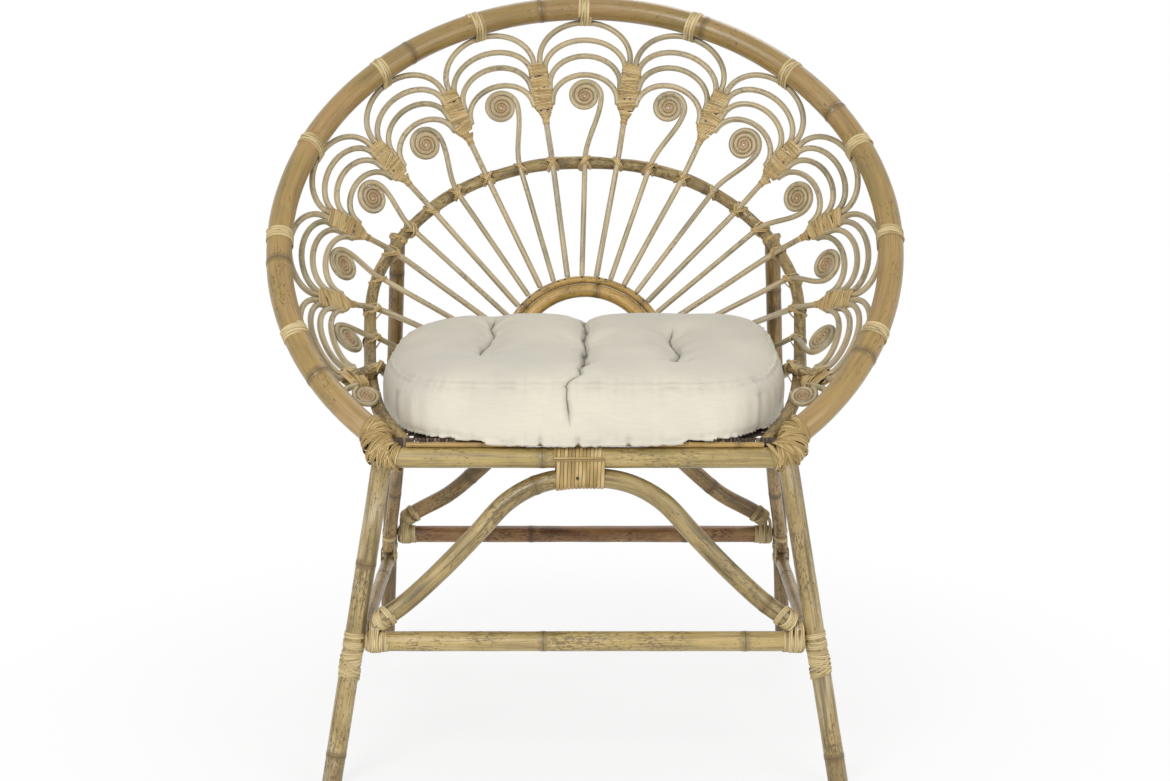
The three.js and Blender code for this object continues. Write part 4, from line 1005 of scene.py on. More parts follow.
# Each material: its slot, the function that paints it, and how. A tone is a place on the
# drift, a factor, and a colour with the share of it that is mixed in.
MATERIALS = {
    # rim: golden tan with honey and olive drifts and a satin gloss
    "varnished_golden_rattan": ("cane_pole", rattan_skin, {
        "colour": "golden", "roughness": 0.33, "specks": 0.0, "patch_mm": 130, "coat": 0.25,
        "tones": ((0.22, 0.86, "#8c7c4e", 0.5), (0.40, 0.97, "#a78c52", 0.4),
                  (0.56, 1.0, "#a98763", 0.4), (0.74, 1.1, "#b9a57c", 0.5))}),
    # front legs and brace: the same rattan, unevenly ripened, with grey bloom and specks
    "weathered_golden_rattan": ("cane_pole", rattan_skin, {
        "colour": "golden", "roughness": 0.40, "specks": 0.55, "patch_mm": 70,
        "streak": 0.24, "coat": 0.3, "painted_gloss_streaks": 0.55,
        "tones": ((0.22, 0.78, "#7c7256", 0.5), (0.42, 1.0, "#9a8f66", 0.5),
                  (0.58, 1.12, "#b3a67c", 0.45), (0.76, 1.2, "#c8bea4", 0.65))}),
    # front rail and stretcher: the palest poles, straw gold with olive drifts
    "pale_golden_rattan": ("cane_pole", rattan_skin, {
        "colour": "pale_gold", "roughness": 0.38, "specks": 0.45, "patch_mm": 60,
        "streak": 0.2, "coat": 0.3, "painted_gloss_streaks": 0.3,
        "tones": ((0.22, 0.78, "#8f8455", 0.5), (0.42, 0.96, "#b39a5c", 0.4),
                  (0.58, 1.0, "#c4a97a", 0.4), (0.76, 1.1, "#d0c49a", 0.5))}),
    # rear legs and side pieces: browner poles with dark stains along them
    "brown_rattan": ("cane_pole", rattan_skin, {
        "colour": "golden", "drawn": (0.92, "#80603a", 0.45), "roughness": 0.42,
        "specks": 0.6, "patch_mm": 65, "streak": 0.24, "coat": 0.3, "painted_gloss_streaks": 0.45,
        "tones": ((0.22, 0.60, "#4d3c28", 0.4), (0.42, 0.94),
                  (0.58, 1.22, "#a58a5c", 0.4), (0.76, 1.35, "#b5a37e", 0.5))}),
    # hoop and bent rail: bark on, olive and grey-brown mottles, matt
    "bark_on_rattan": ("bark_pole", rattan_skin, {
        "colour": "bark", "roughness": 0.52, "specks": 0.7, "patch_mm": 45, "coat": 0.06,
        "tones": ((0.22, 0.60, "#4f4430", 0.4), (0.42, 0.90),
                  (0.58, 1.15, "#96875a", 0.4), (0.76, 1.30, "#b3a683", 0.55))}),
    # rods of the fan: khaki, olive and grey-tan by turns along each rod, satin
    "peeled_rattan": ("pale_rod", rattan_skin, {
        "colour": "pale", "roughness": 0.36, "specks": 0.25, "patch_mm": 55,
        # the scrolls darken towards this brown: staining, and partly painted shade in their inner
        # turns
        "streak": 0.18, "coat": 0.22, "painted_gloss_streaks": 0.3, "stain_and_shade_colour": "#a47a44",
        "tones": ((0.20, 0.74, "#7f7a54", 0.65), (0.38, 0.95, "#a3966c", 0.5),
                  (0.54, 1.02, "#b39c74", 0.5), (0.68, 1.0, "#a59b84", 0.6),
                  (0.82, 1.15, "#c9c0a0", 0.6))}),
    # heart ring and liner: gone golden brown, well varnished
    "golden_brown_rattan": ("orange_rod", rattan_skin, {
        "colour": "ring", "roughness": 0.34, "specks": 0.4, "patch_mm": 55, "coat": 0.3,
        "tones": ((0.22, 0.78, "#87683a", 0.35), (0.44, 0.96),
                  (0.60, 1.12, "#bd9a5c", 0.4), (0.78, 1.20, "#c9b078", 0.5))}),
    # rear stretcher: reddish brown
    "reddish_rattan": ("red_pole", rattan_skin, {
        "colour": "red", "roughness": 0.45, "specks": 0.6, "patch_mm": 55,
        "tones": ((0.22, 0.62, "#5b3a24", 0.4), (0.44, 0.95),
                  (0.60, 1.15, "#a5804f", 0.4), (0.78, 1.25, "#b89a6c", 0.55))}),
    # most lashings: straw coloured, with fibres about 0.5 mm apart
    "straw_split_cane": ("cane_strip", strand_skin, {"colour": "straw", **CANE}),
    # centre binding and corners: the same cane, aged to a honey brown
    "honey_split_cane": ("cane_strip", strand_skin, {"colour": "honey", **CANE}),
    # strands in the fan: the same cane, weathered to a tan brown
    "tan_split_cane": ("cane_strip", strand_skin, {"colour": "tan", **CANE}),
    # deck: brown-black, fibrous and dull
    "dark_bark_strand": ("dark_strand", strand_skin, {
        "colour": "strand", "stretch": 0.04, "scale": 900.0, "depth": 0.0004,
        "roughness": 0.62, "fibre_tones": ((0.3, 0.6), (0.6, 1.0)),
        "tones": ((0.3, 0.55), (0.5, 1.0), (0.72, 1.9, "#7d6958", 0.4))}),
    # cushion: off-white washed linen with slubs
    "washed_linen": ("linen", linen_cloth, {}),
    # nail heads: black, a little worn
    "blackened_nail": ("dark_strand", nail_steel, {}),
}


# Pieces

def poles():
    return bpy.context.scene.chair_poles


def cane(width, part=1.0):
    """Width and thickness of a strand, the width as a part of the named one."""
    sizes = bpy.context.scene.chair_cane
    return getattr(sizes, width) / MM * part, sizes.strand_thickness / MM


def spaced(line, first, pitch):
    """Culm nodes at uneven distances along a line."""
    length = distances(line)[-1]
    marks, at = [], first
    while at < length - 8:
        marks.append(at)
        at += pitch * (1 + 0.22 * math.sin(len(marks) * 2.4 + first))
    return marks


def build_rim_pole():
    angles = [RIM_END * (2 * i / 400 - 1) for i in range(401)]
    knots = [RIM_RADIUS * (math.radians(a) + RIM_END) for a in RIM_KNOT_ANGLES]
    # the top of the rim has gone browner
    darkening = 0.30 * bell(np.degrees(angles) - 4, 46)
    grow_poles("rim_pole", "varnished_golden_rattan", ["rim_hoop"],
               [([rim_place(angle) for angle in angles], poles().rim / MM, knots, darkening)],
               step=8, corners=28, seed=2, wobble=0.015)


def build_bark_poles():
    for name, node, curve, radius, first, pitch, seed in (
            ("bark_hoop", "back_hoop", HOOP, poles().hoop, 60, 170, 5),
            ("bark_bent_rail", "bent_rail", BENT_RAIL, poles().bent_rail, 70, 150, 9)):
        line = traced(curve, 320)
        grow_poles(name, "bark_on_rattan", [node],
                   [(line, radius / MM, spaced(line, first, pitch))], corners=16, seed=seed,
                   wobble=0.05)


def build_seat_rails():
    rail = level(RAIL_HALF_LENGTH, 0, RAIL_HEIGHT)
    grow_poles("front_rail_pole", "pale_golden_rattan", ["front_rail"],
               [(rail, poles().rail / MM, [RAIL_HALF_LENGTH - 50.5],
                 np.linspace(0.06, 0.14, len(rail)))], corners=24, seed=3, wobble=0.03)
    # in the middle it lies on the centre binding
    liner = [p + HIGH * (1.8 * bell(p.x - BINDING_MIDDLE, 75)) for p in level(*LINER_PLACE)]
    # the whole liner is drawn 0.3 of the way to a dark tone: painted shade under the cushion's
    # front edge
    grow_poles("liner_rod", "golden_brown_rattan", ["front_liner"],
               [(liner, LINER, spaced(liner, 90, 160), [0.3] * len(liner))], seed=4)
    end = rear_leg_place(1, REAR_RAIL_HEIGHT).x - REAR_LEG - CLEARANCE - 0.5
    grow_poles("rear_rail_pole", "weathered_golden_rattan", ["seat_rear_rail"],
               [(level(end, REAR_RAIL_DEPTH, REAR_RAIL_HEIGHT), REAR_RAIL, [170, 390])],
               corners=20, seed=6)


def place_nails(name, places, radius):
    """Round nail heads, each a short cone-sided disc, joined into one piece."""
    made = []
    for centre, out in places:
        bpy.ops.mesh.primitive_cone_add(
            vertices=10, radius1=radius * MM, radius2=radius * 0.7 * MM, depth=1.0 * MM,
            location=(centre + SHIFT + out * 0.3) * MM,
            rotation=out.to_track_quat("Z", "Y").to_euler())
        made.append(bpy.context.object)
    select_only(*made)
    bpy.ops.object.join()
    obj = bpy.context.object
    bpy.ops.object.transform_apply(location=True, rotation=True, scale=True)
    obj.name = name
    bevel = obj.modifiers.new("Worn edge", "BEVEL")
    bevel.width = 0.2 * MM
    bevel.segments = 1
    bpy.ops.object.modifier_apply(modifier=bevel.name)
    bpy.ops.object.shade_smooth_by_angle(angle=SMOOTH_ANGLE)
    settle(obj, "blackened_nail")


def build_heart_rings():
    for name, node, ring, radius, knots, corners, seed in (
            ("thick", "inner", HEART_RADIUS, RING_POLE, [70, 205, 330], 20, 8),
            ("thin", "outer", HEART_OUTER, THIN_RING, [120, 300], 14, 10)):
        grow_poles(f"heart_ring_{name}", "golden_brown_rattan", [f"heart_ring_{node}"],
                   [(heart_line(ring, radius), radius, knots)], corners=corners, seed=seed)
    # nails hold the ribs down on the thin ring
    places = []
    front = Vector((0, -HEART_UP.z, HEART_UP.y))
    for step in range(-9, 10):
        angle = HEART_PITCH * step / 2 + HEART_TURN + 0.05 * math.sin(step * 2.3)
        centre = heart_place(HEART_OUTER, angle)
        side = (front * 0.85 + (centre - HEART_CENTRE).normalized() * 0.53).normalized()
        places.append((centre + side * (THIN_RING + 0.05), side))
    place_nails("heart_ring_nails", places, 1.3)


def build_legs():
    i = np.arange(41)
    for row, finish, place, radius, tops, corners, seed, knots, darkening in (
            # the foot has gone dark below its node, and the right leg is browner
            ("front", "weathered_golden_rattan", front_leg_place, poles().front_leg,
             FRONT_LEG_TOP + 9, 24, 12, ([45, 282], [43]),
             0.45 * (1 - smoothstep(i, 3.2, 4.6)) + 0.2 * smoothstep(i, 24, 32)),
            # the top ends low behind the hoop
            ("rear", "brown_rattan", rear_leg_place, poles().rear_leg, REAR_LEG_TOP.z - 15,
             22, 14, ([60, 262, 455, 585], [45, 240, 432, 560]),
             0.38 * (1 - smoothstep(i, 22, 30)))):
        runs = []
        for (side, _), marks in zip(SIDES, knots):
            browner = 0.12 if row == "front" and side > 0 else 0
            runs.append((straight(place(side, -5), place(side, tops)), radius / MM, marks,
                         darkening + browner))
        grow_poles(f"{row}_leg_poles", finish, [f"{row}_leg_left", f"{row}_leg_right"], runs,
                   corners=corners, seed=seed, wobble=0.03, level_feet=True)


def build_stretchers():
    radius = poles().stretcher / MM
    for row, finish, place, gap, seed in (
            ("front", "pale_golden_rattan", front_leg_place, FRONT_STRETCHER_GAP, 16),
            ("rear", "reddish_rattan", rear_leg_place, REAR_STRETCHER_GAP, 18)):
        a, b = shortened(place(-1, STRETCHER_HEIGHT), place(1, STRETCHER_HEIGHT), gap, gap)
        half = (b - a).length / 2
        knots = [half - 50, half + 192] if row == "front" else [195, 420]
        grow_poles(f"{row}_stretcher_pole", finish, [f"{row}_stretcher"],
                   [(straight(a, b), radius, knots)], corners=24, seed=seed, wobble=0.03)
    for side, name in SIDES:
        line = straight(*side_stretcher_ends(side))
        grow_poles(f"{name}_stretcher_pole", "brown_rattan", [f"{name}_stretcher"],
                   [(line, SIDE_POLE, [180, 400])], corners=20, seed=20 + side, wobble=0.03)


def build_braces():
    for name, finish, line, radius, knots, corners, seed in (
            ("front", "weathered_golden_rattan", FRONT_BRACE_LINE, BRACE, [255, 590], 22, 24),
            ("rear", "brown_rattan", REAR_BRACE_LINE, BRACE, [120, 340, 560], 22, 26),
            *((name, "brown_rattan", side_brace(side), SIDE_POLE, [150, 420, 640], 20,
               28 + side) for side, name in SIDES)):
        grow_poles(f"{name}_brace_pole", finish, [f"{name}_brace"], [(line, radius, knots)],
                   corners=corners, seed=seed, wobble=0.03)


def fan_members():
    """Name, index, half span, edge radii and arch count of each scallop."""
    rail = BENT_POLE + BENT_RAIL_EASE
    for step in range(7):
        for side, name in SIDES:
            if step == 0 and side < 0:
                continue
            last = step == 6
            index = side * ((LAST_RIB + CORNER) / 2 if last else step)
            half_span = (CORNER - LAST_RIB) / 2 if last else 0.5
            outer = rail if step == 5 else ROD
            inner = rail if last else ROD
            radii = (inner, outer) if side > 0 else (outer, inner)
            yield (f"{name}_{step}" if step else "centre", index, half_span, radii,
                   1 if last else 4)


def build_scallops():
    for number, (name, *member) in enumerate(fan_members()):
        runs = [(line, poles().rod / MM, []) for line in scallop_lines(*member)]
        grow_poles(f"arches_{name}", "peeled_rattan", [f"scallop_{name}"], runs, step=4.5,
                   seed=40 + number, wobble=0.04)


def build_scrolls():
    for number, (name, index, _, _, arches) in enumerate(fan_members()):
        places, radii, stain_and_shade_shares = scroll_line(index, arches, CORNER_SCALE if arches == 1 else 1,
                                            poles().scroll / MM)
        count = 6 * (len(places) - 1)
        at = np.linspace(0, len(radii) - 1, count + 1)
        fine, darkened = (np.interp(at, np.arange(len(radii)), values) for values in (radii, stain_and_shade_shares))
        grow_poles(f"scroll_{name}", "peeled_rattan", [f"scroll_rod_{name}"],
                   [(traced(spline(places), count), fine, [], darkened)], step=2.6,
                   seed=60 + number)


def build_ribs():
    for step in range(1, 6):
        for side, name in SIDES:
            grow_poles(f"rib_pole_{name}_{step}", "peeled_rattan", [f"rib_{name}_{step}"],
                       [(rib_line(side * (step - 0.5)), poles().rod / MM, [])],
                       seed=80 + step * 2 + side, wobble=0.04)


def build_rim_bindings():
    """Four turns of wide strip hold each outer arch to the rim."""
    windings = []
    width, thick = cane("band_width")
    rod = RIM_SEAT * math.cos(RIM_BIND_ANGLE), RIM_SEAT * math.sin(RIM_BIND_ANGLE)
    circles = ((0, 0, RIM_POLE + 0.2), (*rod, ROD + 0.4))
    for index in range(-5, 6):
        inward = rim_inward(RIM_PITCH * index)
        place = rim_place(RIM_PITCH * index), BACK.cross(inward).normalized(), inward, BACK
        windings.append(wind(*place, circles, 4, width, (width * 0.88, thick),
                             slant=1.2 * math.sin(index * 2.1), steps=30,
                             phase=index * 7 % 30))
        # the end of the strip lies across the turns
        windings.append(wind(*place, circles, 0.62, 16, (width * 0.55, thick * 0.8),
                             slant=2.0, steps=30, phase=16, standoff=0.1 + thick))
    lay_strips("rim_bindings", "straw_split_cane", [], windings, seed=3)


def junction_circles(index, share):
    """The poles that lie side by side in a junction of two scallops, at a depth share."""
    thick = BENT_POLE if abs(index) > 5 and share > BENT_RAIL_END_SHARE else ROD
    extra = thick + (BENT_RAIL_EASE if thick > ROD else 0) - ROD
    beside = ROD + CLEARANCE / 2
    rods = [(0, 0, thick)] if share > RIB_END_SHARE else [(-beside, 0, ROD), (beside, 0, ROD)]
    # the outermost feet draw in towards the rib and end there
    reach = float(np.interp(share, (0.28, 0.40, 0.48, 0.575, 0.70), (8.8, 9.4, 10.4, 9.6, 0.6)))
    apart = min(reach / 9.6, 1)
    return rods + [(s * (reach + extra * apart), 0, lerp(1.6, ROD, apart)) for s in (-1, 1)]


def build_fan_lashings():
    """Groups of fine strands bind the feet of the arches to each rib."""
    windings = []
    width, thick = cane("fine_width")
    for number, index in enumerate(i + 0.5 for i in range(-6, 6)):
        rim, hoop = rim_seat(index), hoop_seat(index)
        axis = (hoop - rim).normalized()
        depth = (hoop - rim).length
        across = square_to(axis, fan_across(index, 0.5))
        out = axis.cross(across).normalized()
        for g, (start, end, lean) in enumerate(FAN_GROUPS):
            turns = max(2, round((end - start) * depth / (width + 0.22)))

            def circles(share, start=start, end=end):
                return junction_circles(index, lerp(start, end, share))

            windings.append(wind(
                lerp(rim, hoop, (start + end) / 2), axis, across, out, circles, turns,
                (end - start) * depth / turns, (width, thick), pinch=lean * 0.2, steps=22,
                slant=lean * (2.0 + 1.6 * math.sin(number * 2.3 + g * 1.9)),
                phase=(number * 5 + g * 7) % 22))
        # a strand crosses over the groups
        lean = (5.0 + math.sin(number)) * (-1 if number % 2 else 1)
        windings.append(wind(
            lerp(rim, hoop, 0.458), axis, across, out, junction_circles(index, 0.458), 1.35,
            2.4, (width, thick), slant=lean, phase=(4 + number * 5) % 18,
            standoff=0.1 + thick))
    lay_strips("fan_lashings", "tan_split_cane", [], windings, seed=7)


def build_hoop_ties():
    """Cane ties, some crossed, hold each rod to the hoop; their loose ends stick out."""
    windings = []
    width, thick = cane("strand_width", 0.9)
    for number, index in enumerate(i / 2 for i in range(-11, 12)):
        centre, along, inner, _ = hoop_sides(index)
        last = abs(index) == LAST_RIB
        rod_radius = BENT_POLE + BENT_RAIL_EASE - 1 if last else ROD + 0.2
        crossing = hoop_seat(index, BENT_POLE + BENT_RAIL_EASE if last else ROD)
        spoke = (rim_seat(index) - spoke_start(index, crossing)).normalized()
        spoke = square_to(inner, spoke)
        lift = (crossing - centre).length
        for turn, lean in enumerate((1, -1)):
            if turn and number % 3 == 0:
                continue
            axis = (along + spoke * lean).normalized()
            across = inner.cross(axis).normalized()
            # a pole cut slantwise is wider than round
            hoop_wide, rod_wide = (min(r / max(abs(axis.dot(v)), 0.1) - r, 5)
                                   for r, v in ((HOOP_POLE, along), (ROD, spoke)))
            circles = [(s * hoop_wide, 0, HOOP_POLE - 0.2) for s in (-1, 1)]
            circles += [(s * (rod_wide + 0.5), lift, rod_radius) for s in (-1, 1)]
            even = (number + turn) % 2 == 0
            windings.append(wind(centre, axis, across, inner, circles, 3 if even else 2,
                                 width + 0.2, (width, thick), standoff=0.2 + turn * thick,
                                 phase=number * 3 % 18))
            if even:
                # a cut end that was left standing out
                root = centre + inner * (lift + 3) + across * 4
                aim = (across * 1.0 + inner * 0.7 + spoke * 0.3 * lean).normalized()
                tail = [root + aim * t for t in (0, 2, 4, 6)]
                windings.append((tail, [axis] * 4, width * 0.7, thick))
    for side, _ in SIDES:
        # the rear leg against the hoop, a little below the place where they cross
        centre, along, *_ = hoop_sides(side * REAR_LEG_INDEX)
        leg = (rear_leg_place(side, 500) - rear_leg_place(side, 400)).normalized()
        along = facing(along, leg)
        axis = (along + leg).normalized()
        behind = facing(along.cross(leg).normalized(), -FRONT)
        across = axis.cross(behind).normalized()
        drop = 13.0
        hoop_off, leg_off = (-drop * v.dot(across) / v.dot(axis) for v in (along, leg))
        circles = ((hoop_off, 0, HOOP_POLE + 0.7), (leg_off, -REAR_LEG_APART, REAR_LEG + 0.7))
        for layer, lean in enumerate((1.0, -3.0)):
            windings.append(wind(centre - axis * drop, axis, across, -behind, circles,
                                 4 - 2 * layer, width + 0.1, (width, thick), slant=lean,
                                 standoff=0.2 + layer * thick, steps=24))
    lay_strips("hoop_ties", "tan_split_cane", [], windings, seed=11)
    # a strip of bark lies along the hoop, under the ties
    places, outs = [], []
    for k in range(301):
        centre, _, inner, outward = hoop_sides(-6.3 + 12.6 * k / 300)
        turn = math.radians(58 + 24 * math.sin(k / 7.0) + 12 * math.sin(k / 2.9))
        outs.append(inner * math.cos(turn) + outward * math.sin(turn))
        places.append(centre + outs[-1] * (HOOP_POLE - 0.1))
    lay_strips("hoop_bark_strip", "bark_on_rattan", [], [(places, outs, 5.2, 1.7)], seed=12)


def build_centre_binding():
    """A wide cane strip wound 13 times round the front rail and the brace under it."""
    turns, pitch = 13, 4.4

    def circles(share):
        x = BINDING_MIDDLE + pitch * turns * (share - 0.5)
        brace = min(p.z for p in FRONT_BRACE_LINE if abs(p.x) <= abs(x) + 2)
        drop = max(FRONT_APEX.z - brace, 0)
        return (0, 0, RAIL_POLE), (0, FRONT_APEX.z - RAIL_HEIGHT - drop, BRACE)

    windings = [wind(Vector((BINDING_MIDDLE, 0, RAIL_HEIGHT)), RIGHT, FRONT, HIGH, circles,
                     turns, pitch, (4.15, 1.2), standoff=0.9, steps=26, tuck=0.6)]
    # a light strip is woven across the front of the turns
    for z, lift in ((402.5, 0.0), (399.6, 0.2)):
        strip = [Vector((x, -14.7 - lift - 0.5 * abs(math.sin((x + 36) * math.pi / 8.8)), z))
                 for x in np.linspace(-36.5, 22.5, 27)]
        windings.append((strip, [FRONT] * len(strip), 2.2, 0.8))
    lay_strips("centre_cane_binding", "honey_split_cane", ["centre_binding"], windings, seed=13)
    place_nails("binding_nail", [(Vector((-8.9, -14.6, 378)), FRONT)], 2.0)


def build_leg_lashings():
    """Strands bind each stretcher to its legs and each brace to its stretcher."""
    windings = []
    width, thick = strip = cane("strand_width")

    def round_leg(side, place, height, turns, slant, phase=0, layer=0):
        axis = (place(side, height + 10) - place(side, height - 10)).normalized()
        across = square_to(axis, RIGHT)
        radius = FRONT_LEG if place is front_leg_place else REAR_LEG
        windings.append(wind(place(side, height), axis, across, axis.cross(across).normalized(),
                             ((0, 0, radius + 0.1),), turns, width + 0.15, strip, slant=slant,
                             standoff=0.15 + layer * thick, phase=phase, steps=22))

    def round_pole(line, at, radius, turns, slant, layer=0):
        """Round a straight or bent pole at a distance along its line."""
        marks = distances(line)
        i = int(np.searchsorted(marks, at))
        a, b = line[i - 1], line[i]
        centre = lerp(a, b, (at - marks[i - 1]) / (marks[i] - marks[i - 1]))
        axis = (b - a).normalized()
        across = axis.cross(HIGH).normalized()
        windings.append(wind(centre, axis, across, across.cross(axis).normalized(),
                             ((0, 0, radius + 0.2),), turns, width + 0.15, strip, slant=slant,
                             standoff=0.15 + layer * thick, steps=22))

    front, rear, height = front_leg_place, rear_leg_place, STRETCHER_HEIGHT
    for side, _ in SIDES:
        for row in (
                # front legs: level turns beside the stretcher, slanted ones below it, then a V
                (front, height + 8, 3, 0.5), (front, height - 3, 4, -0.8, 5),
                *((front, height - 13 - 4.6 * k, 2, -side * (1.4 + k), 3 * k) for k in range(5)),
                *((front, height - 26 - 4.2 * k, 1, side * (7 - 0.6 * k), 6 * k, 1)
                  for k in range(4)),
                # rear legs
                (rear, height + 4, 4, 0.8), (rear, height - 14, 4, side * 4.0),
                (rear, SIDE_STRETCHER_HEIGHT + 1, 5, 1.0),
                (front, SIDE_STRETCHER_HEIGHT - 2, 3, 1.6),
                # the rear rail at the leg
                (rear, REAR_RAIL_HEIGHT + 2, 6, side * 2.0)):
            round_leg(side, *row)
    # the feet of the front and rear braces, bound to their stretchers
    for line, place, gap in ((FRONT_BRACE_LINE, front, FRONT_STRETCHER_GAP),
                             (REAR_BRACE_LINE, rear, REAR_STRETCHER_GAP)):
        for side, _ in SIDES:
            leg, inward = place(side, height), RIGHT * -side
            sides = inward, inward.cross(HIGH).normalized(), HIGH
            # level turns round the stretcher, then leaning ones that take in the brace's foot
            windings.append(wind(leg + inward * (gap + 13.5), *sides,
                                 ((0, 0, STRETCHER + 0.1),), 11, width + 0.15, strip,
                                 slant=0.8, standoff=0.2, steps=22))
            for k in range(3):
                windings.append(wind(leg + inward * (gap + 6 + 5 * k), *sides,
                                     ((0, 0, STRETCHER + 0.2), (0, 13.0, 10.5 - k)), 2,
                                     width + 0.2, strip, slant=3.0 - 3 * k,
                                     standoff=0.3 + thick, steps=26, phase=5 * k))
            bent = line if side < 0 else line[::-1]
            round_pole(bent, 9, BRACE, 5, 4.0 * side)
            round_pole(bent, 16, BRACE, 3, -5.0 * side, layer=1)
    # side braces on their stretchers and under the arms
    for side, _ in SIDES:
        line = side_brace(side)
        a, b = side_stretcher_ends(side)
        for start, end, bent in ((a, b, line), (b, a, line[::-1])):
            along = (end - start).normalized()
            across = along.cross(HIGH).normalized()
            windings.append(wind(start + along * 12, along, across,
                                 across.cross(along).normalized(),
                                 ((0, 0, SIDE_POLE + 0.1), (0, 17.3, SIDE_POLE - 0.4)), 7,
                                 width + 0.2, strip, slant=1.0, standoff=0.3, steps=24))
            round_pole(bent, 22, SIDE_POLE, 3, 2.0 * side)
    # the rear brace against the rear rail
    middle = (REAR_APEX + Vector((0, REAR_RAIL_DEPTH, REAR_RAIL_HEIGHT))) / 2
    windings.append(wind(middle, RIGHT, FRONT, HIGH, ((0, 11.0, REAR_RAIL), (0, -10.9, BRACE)),
                         9, width + 0.3, strip, standoff=0.5, steps=26))
    lay_strips("leg_lashings", "straw_split_cane", [], windings, seed=17)


def build_corner_lashings():
    """Fine strands wound close together where rim, front rail and leg meet, some crossed."""
    windings = []
    width, thick = cane("fine_width", 1.15)
    for side, _ in SIDES:
        # from the end of the rim over the top of the leg to the front rail
        path = spline([rim_place(side * (RIM_END - 0.055)), rim_place(side * (RIM_END - 0.025)),
                       Vector((side * 246, 9, 410)), Vector((side * 237, 3, 402.5)),
                       Vector((side * 222, 0, 400))])

        def turn_at(share, lean, layer, turns, phase, pitch):
            axis = (path(share + 0.02) - path(share - 0.02)).normalized()
            out = square_to(axis, FRONT)
            radius = float(np.interp(share * 4, range(5), CORNER_GIRTH))
            windings.append(wind(path(share), axis, out.cross(axis), out, ((0, 0, radius),),
                                 turns, pitch, (width, thick), slant=lean, steps=26,
                                 standoff=0.1 + thick * layer, phase=phase % 26))

        for k in range(14):
            turn_at((k + 0.5) / 14, 2.2 * math.sin(k * 1.7 + side), 0, 3, k * 9, width + 0.1)
        for k, lean in enumerate((4, -5, 6, -5, 7, -6, 6, -7, 8, -9)):
            turn_at((k + 0.9) / 11, lean, 1 + k % 2 * 0.7, 1.0 + 0.8 * (k % 2), k * 5 + 3,
                    width + 0.3)
    lay_strips("corner_lashings", "honey_split_cane", [], windings, seed=19)


def build_deck():
    """A woven deck: broad dark strands one way, narrower ones the other way."""
    depth = REAR_RAIL_DEPTH
    middle = (DECK_BOTTOM + DECK_TOP) / 2
    front, weft_pitch, warp_pitch, thick = 6, 11.0, 10.0, 1.3
    windings = []

    def flat(places, width):
        windings.append(([Vector(p) for p in places], [HIGH] * len(places), width, thick))

    ys, widths = zip(*DECK_OUTLINE_SHARES)
    for row in range(int((depth - front) / weft_pitch)):
        y = front + weft_pitch * (row + 0.5)
        half = DECK_HALF_WIDTH * np.interp(y / depth, ys, widths) - 1
        flat([(x, y, middle + math.sin(math.pi * (x / warp_pitch + row)))
              for x in np.linspace(-half, half, int(2 * half / 5))], weft_pitch - 0.1)
    columns = int(DECK_HALF_WIDTH / warp_pitch)
    for column in range(-columns, columns + 1):
        x = warp_pitch * column
        start = 5.0
        if abs(x) >= DECK_HALF_WIDTH * widths[0]:
            start += depth * float(np.interp(abs(x) / DECK_HALF_WIDTH, widths[:5], ys[:5]))
        flat([(x, y, middle - math.sin(math.pi * ((y - front) / weft_pitch - 0.5 + column + 0.5)))
              for y in np.linspace(start, depth + 3.0, int((depth - start) / 5))],
             warp_pitch - 0.1)
    # strands drawn down over the front corners of the deck
    for side, _ in SIDES:
        for k in range(34):
            x = side * (72 + 4.6 * k)
            top = Vector((x, 3.0 + 0.12 * max(0, abs(x) - 190) ** 1.1, DECK_TOP + 1.5))
            drop = [top + Vector((0, -0.5 * t, -2.6 * t)) for t in range(6)]
            windings.append((drop, [Vector((0.1 * side, -1, 0.1)).normalized()] * 6,
                             3.9 + 0.5 * math.sin(k * 2.2), 1.6))
    lay_strips("woven_deck", "dark_bark_strand", ["seat_deck"], windings, seed=23)


# Cushion

def cushion_rise(x, y):
    """How much higher the top seam runs: towards the back, and at the back corners."""
    corner = smoothstep(abs(x), 110, 225) * smoothstep(y, 110, 300)
    return 4.5 + 28 * smoothstep(y, 60, CUSHION_FRONT + CUSHION_DEPTH) \
        + (4 if x > 0 else -3) * corner


def channel_bend(y):
    """The sewn channel curls to the left before it meets the front seam."""
    return -16 * (1 - smoothstep(y, 2, 20)) - 6 * (1 - smoothstep(y, 20, 125)) \
        + 1.2 * np.sin(y / 13.0 + 1)


def cushion_dip(x, y):
    """How far the two creases and the channel draw the top down."""
    sizes = bpy.context.scene.chair_cushion
    dip = 0.0
    for cx, cy, reach in CREASES:
        along = max(abs(y - cy) - reach * 0.7, 0)
        dip += sizes.crease / MM * (0.66 * bell(x - cx, 13) + 0.34 * bell(x - cx, 40)) \
            * bell(along, 26)
    behind = smoothstep(y, CUSHION_FRONT + 6, CUSHION_MIDDLE * 0.6)
    off = x - channel_bend(y)
    return dip + sizes.channel / MM * behind * (0.65 * bell(off, 10) + 0.35 * bell(off, 30))


def cushion_height(x, y, lift, crown=0):
    """Height of the boxed shape at shares of its side panel and of its crown."""
    dip = cushion_dip(x, y) * crown if crown > 0 else 0
    return CUSHION_BOTTOM + (CUSHION_SIDE - CUSHION_SHRINK + cushion_rise(x, y)) * lift \
        + CUSHION_CROWN * crown - dip


def cushion_plan(p, share):
    """A place of the edge drawn in to a share of the plan."""
    out = Vector((p.x, p.y - CUSHION_MIDDLE, 0))
    out *= share * (1 - CUSHION_SHRINK / out.length)
    return out.x, CUSHION_MIDDLE + out.y


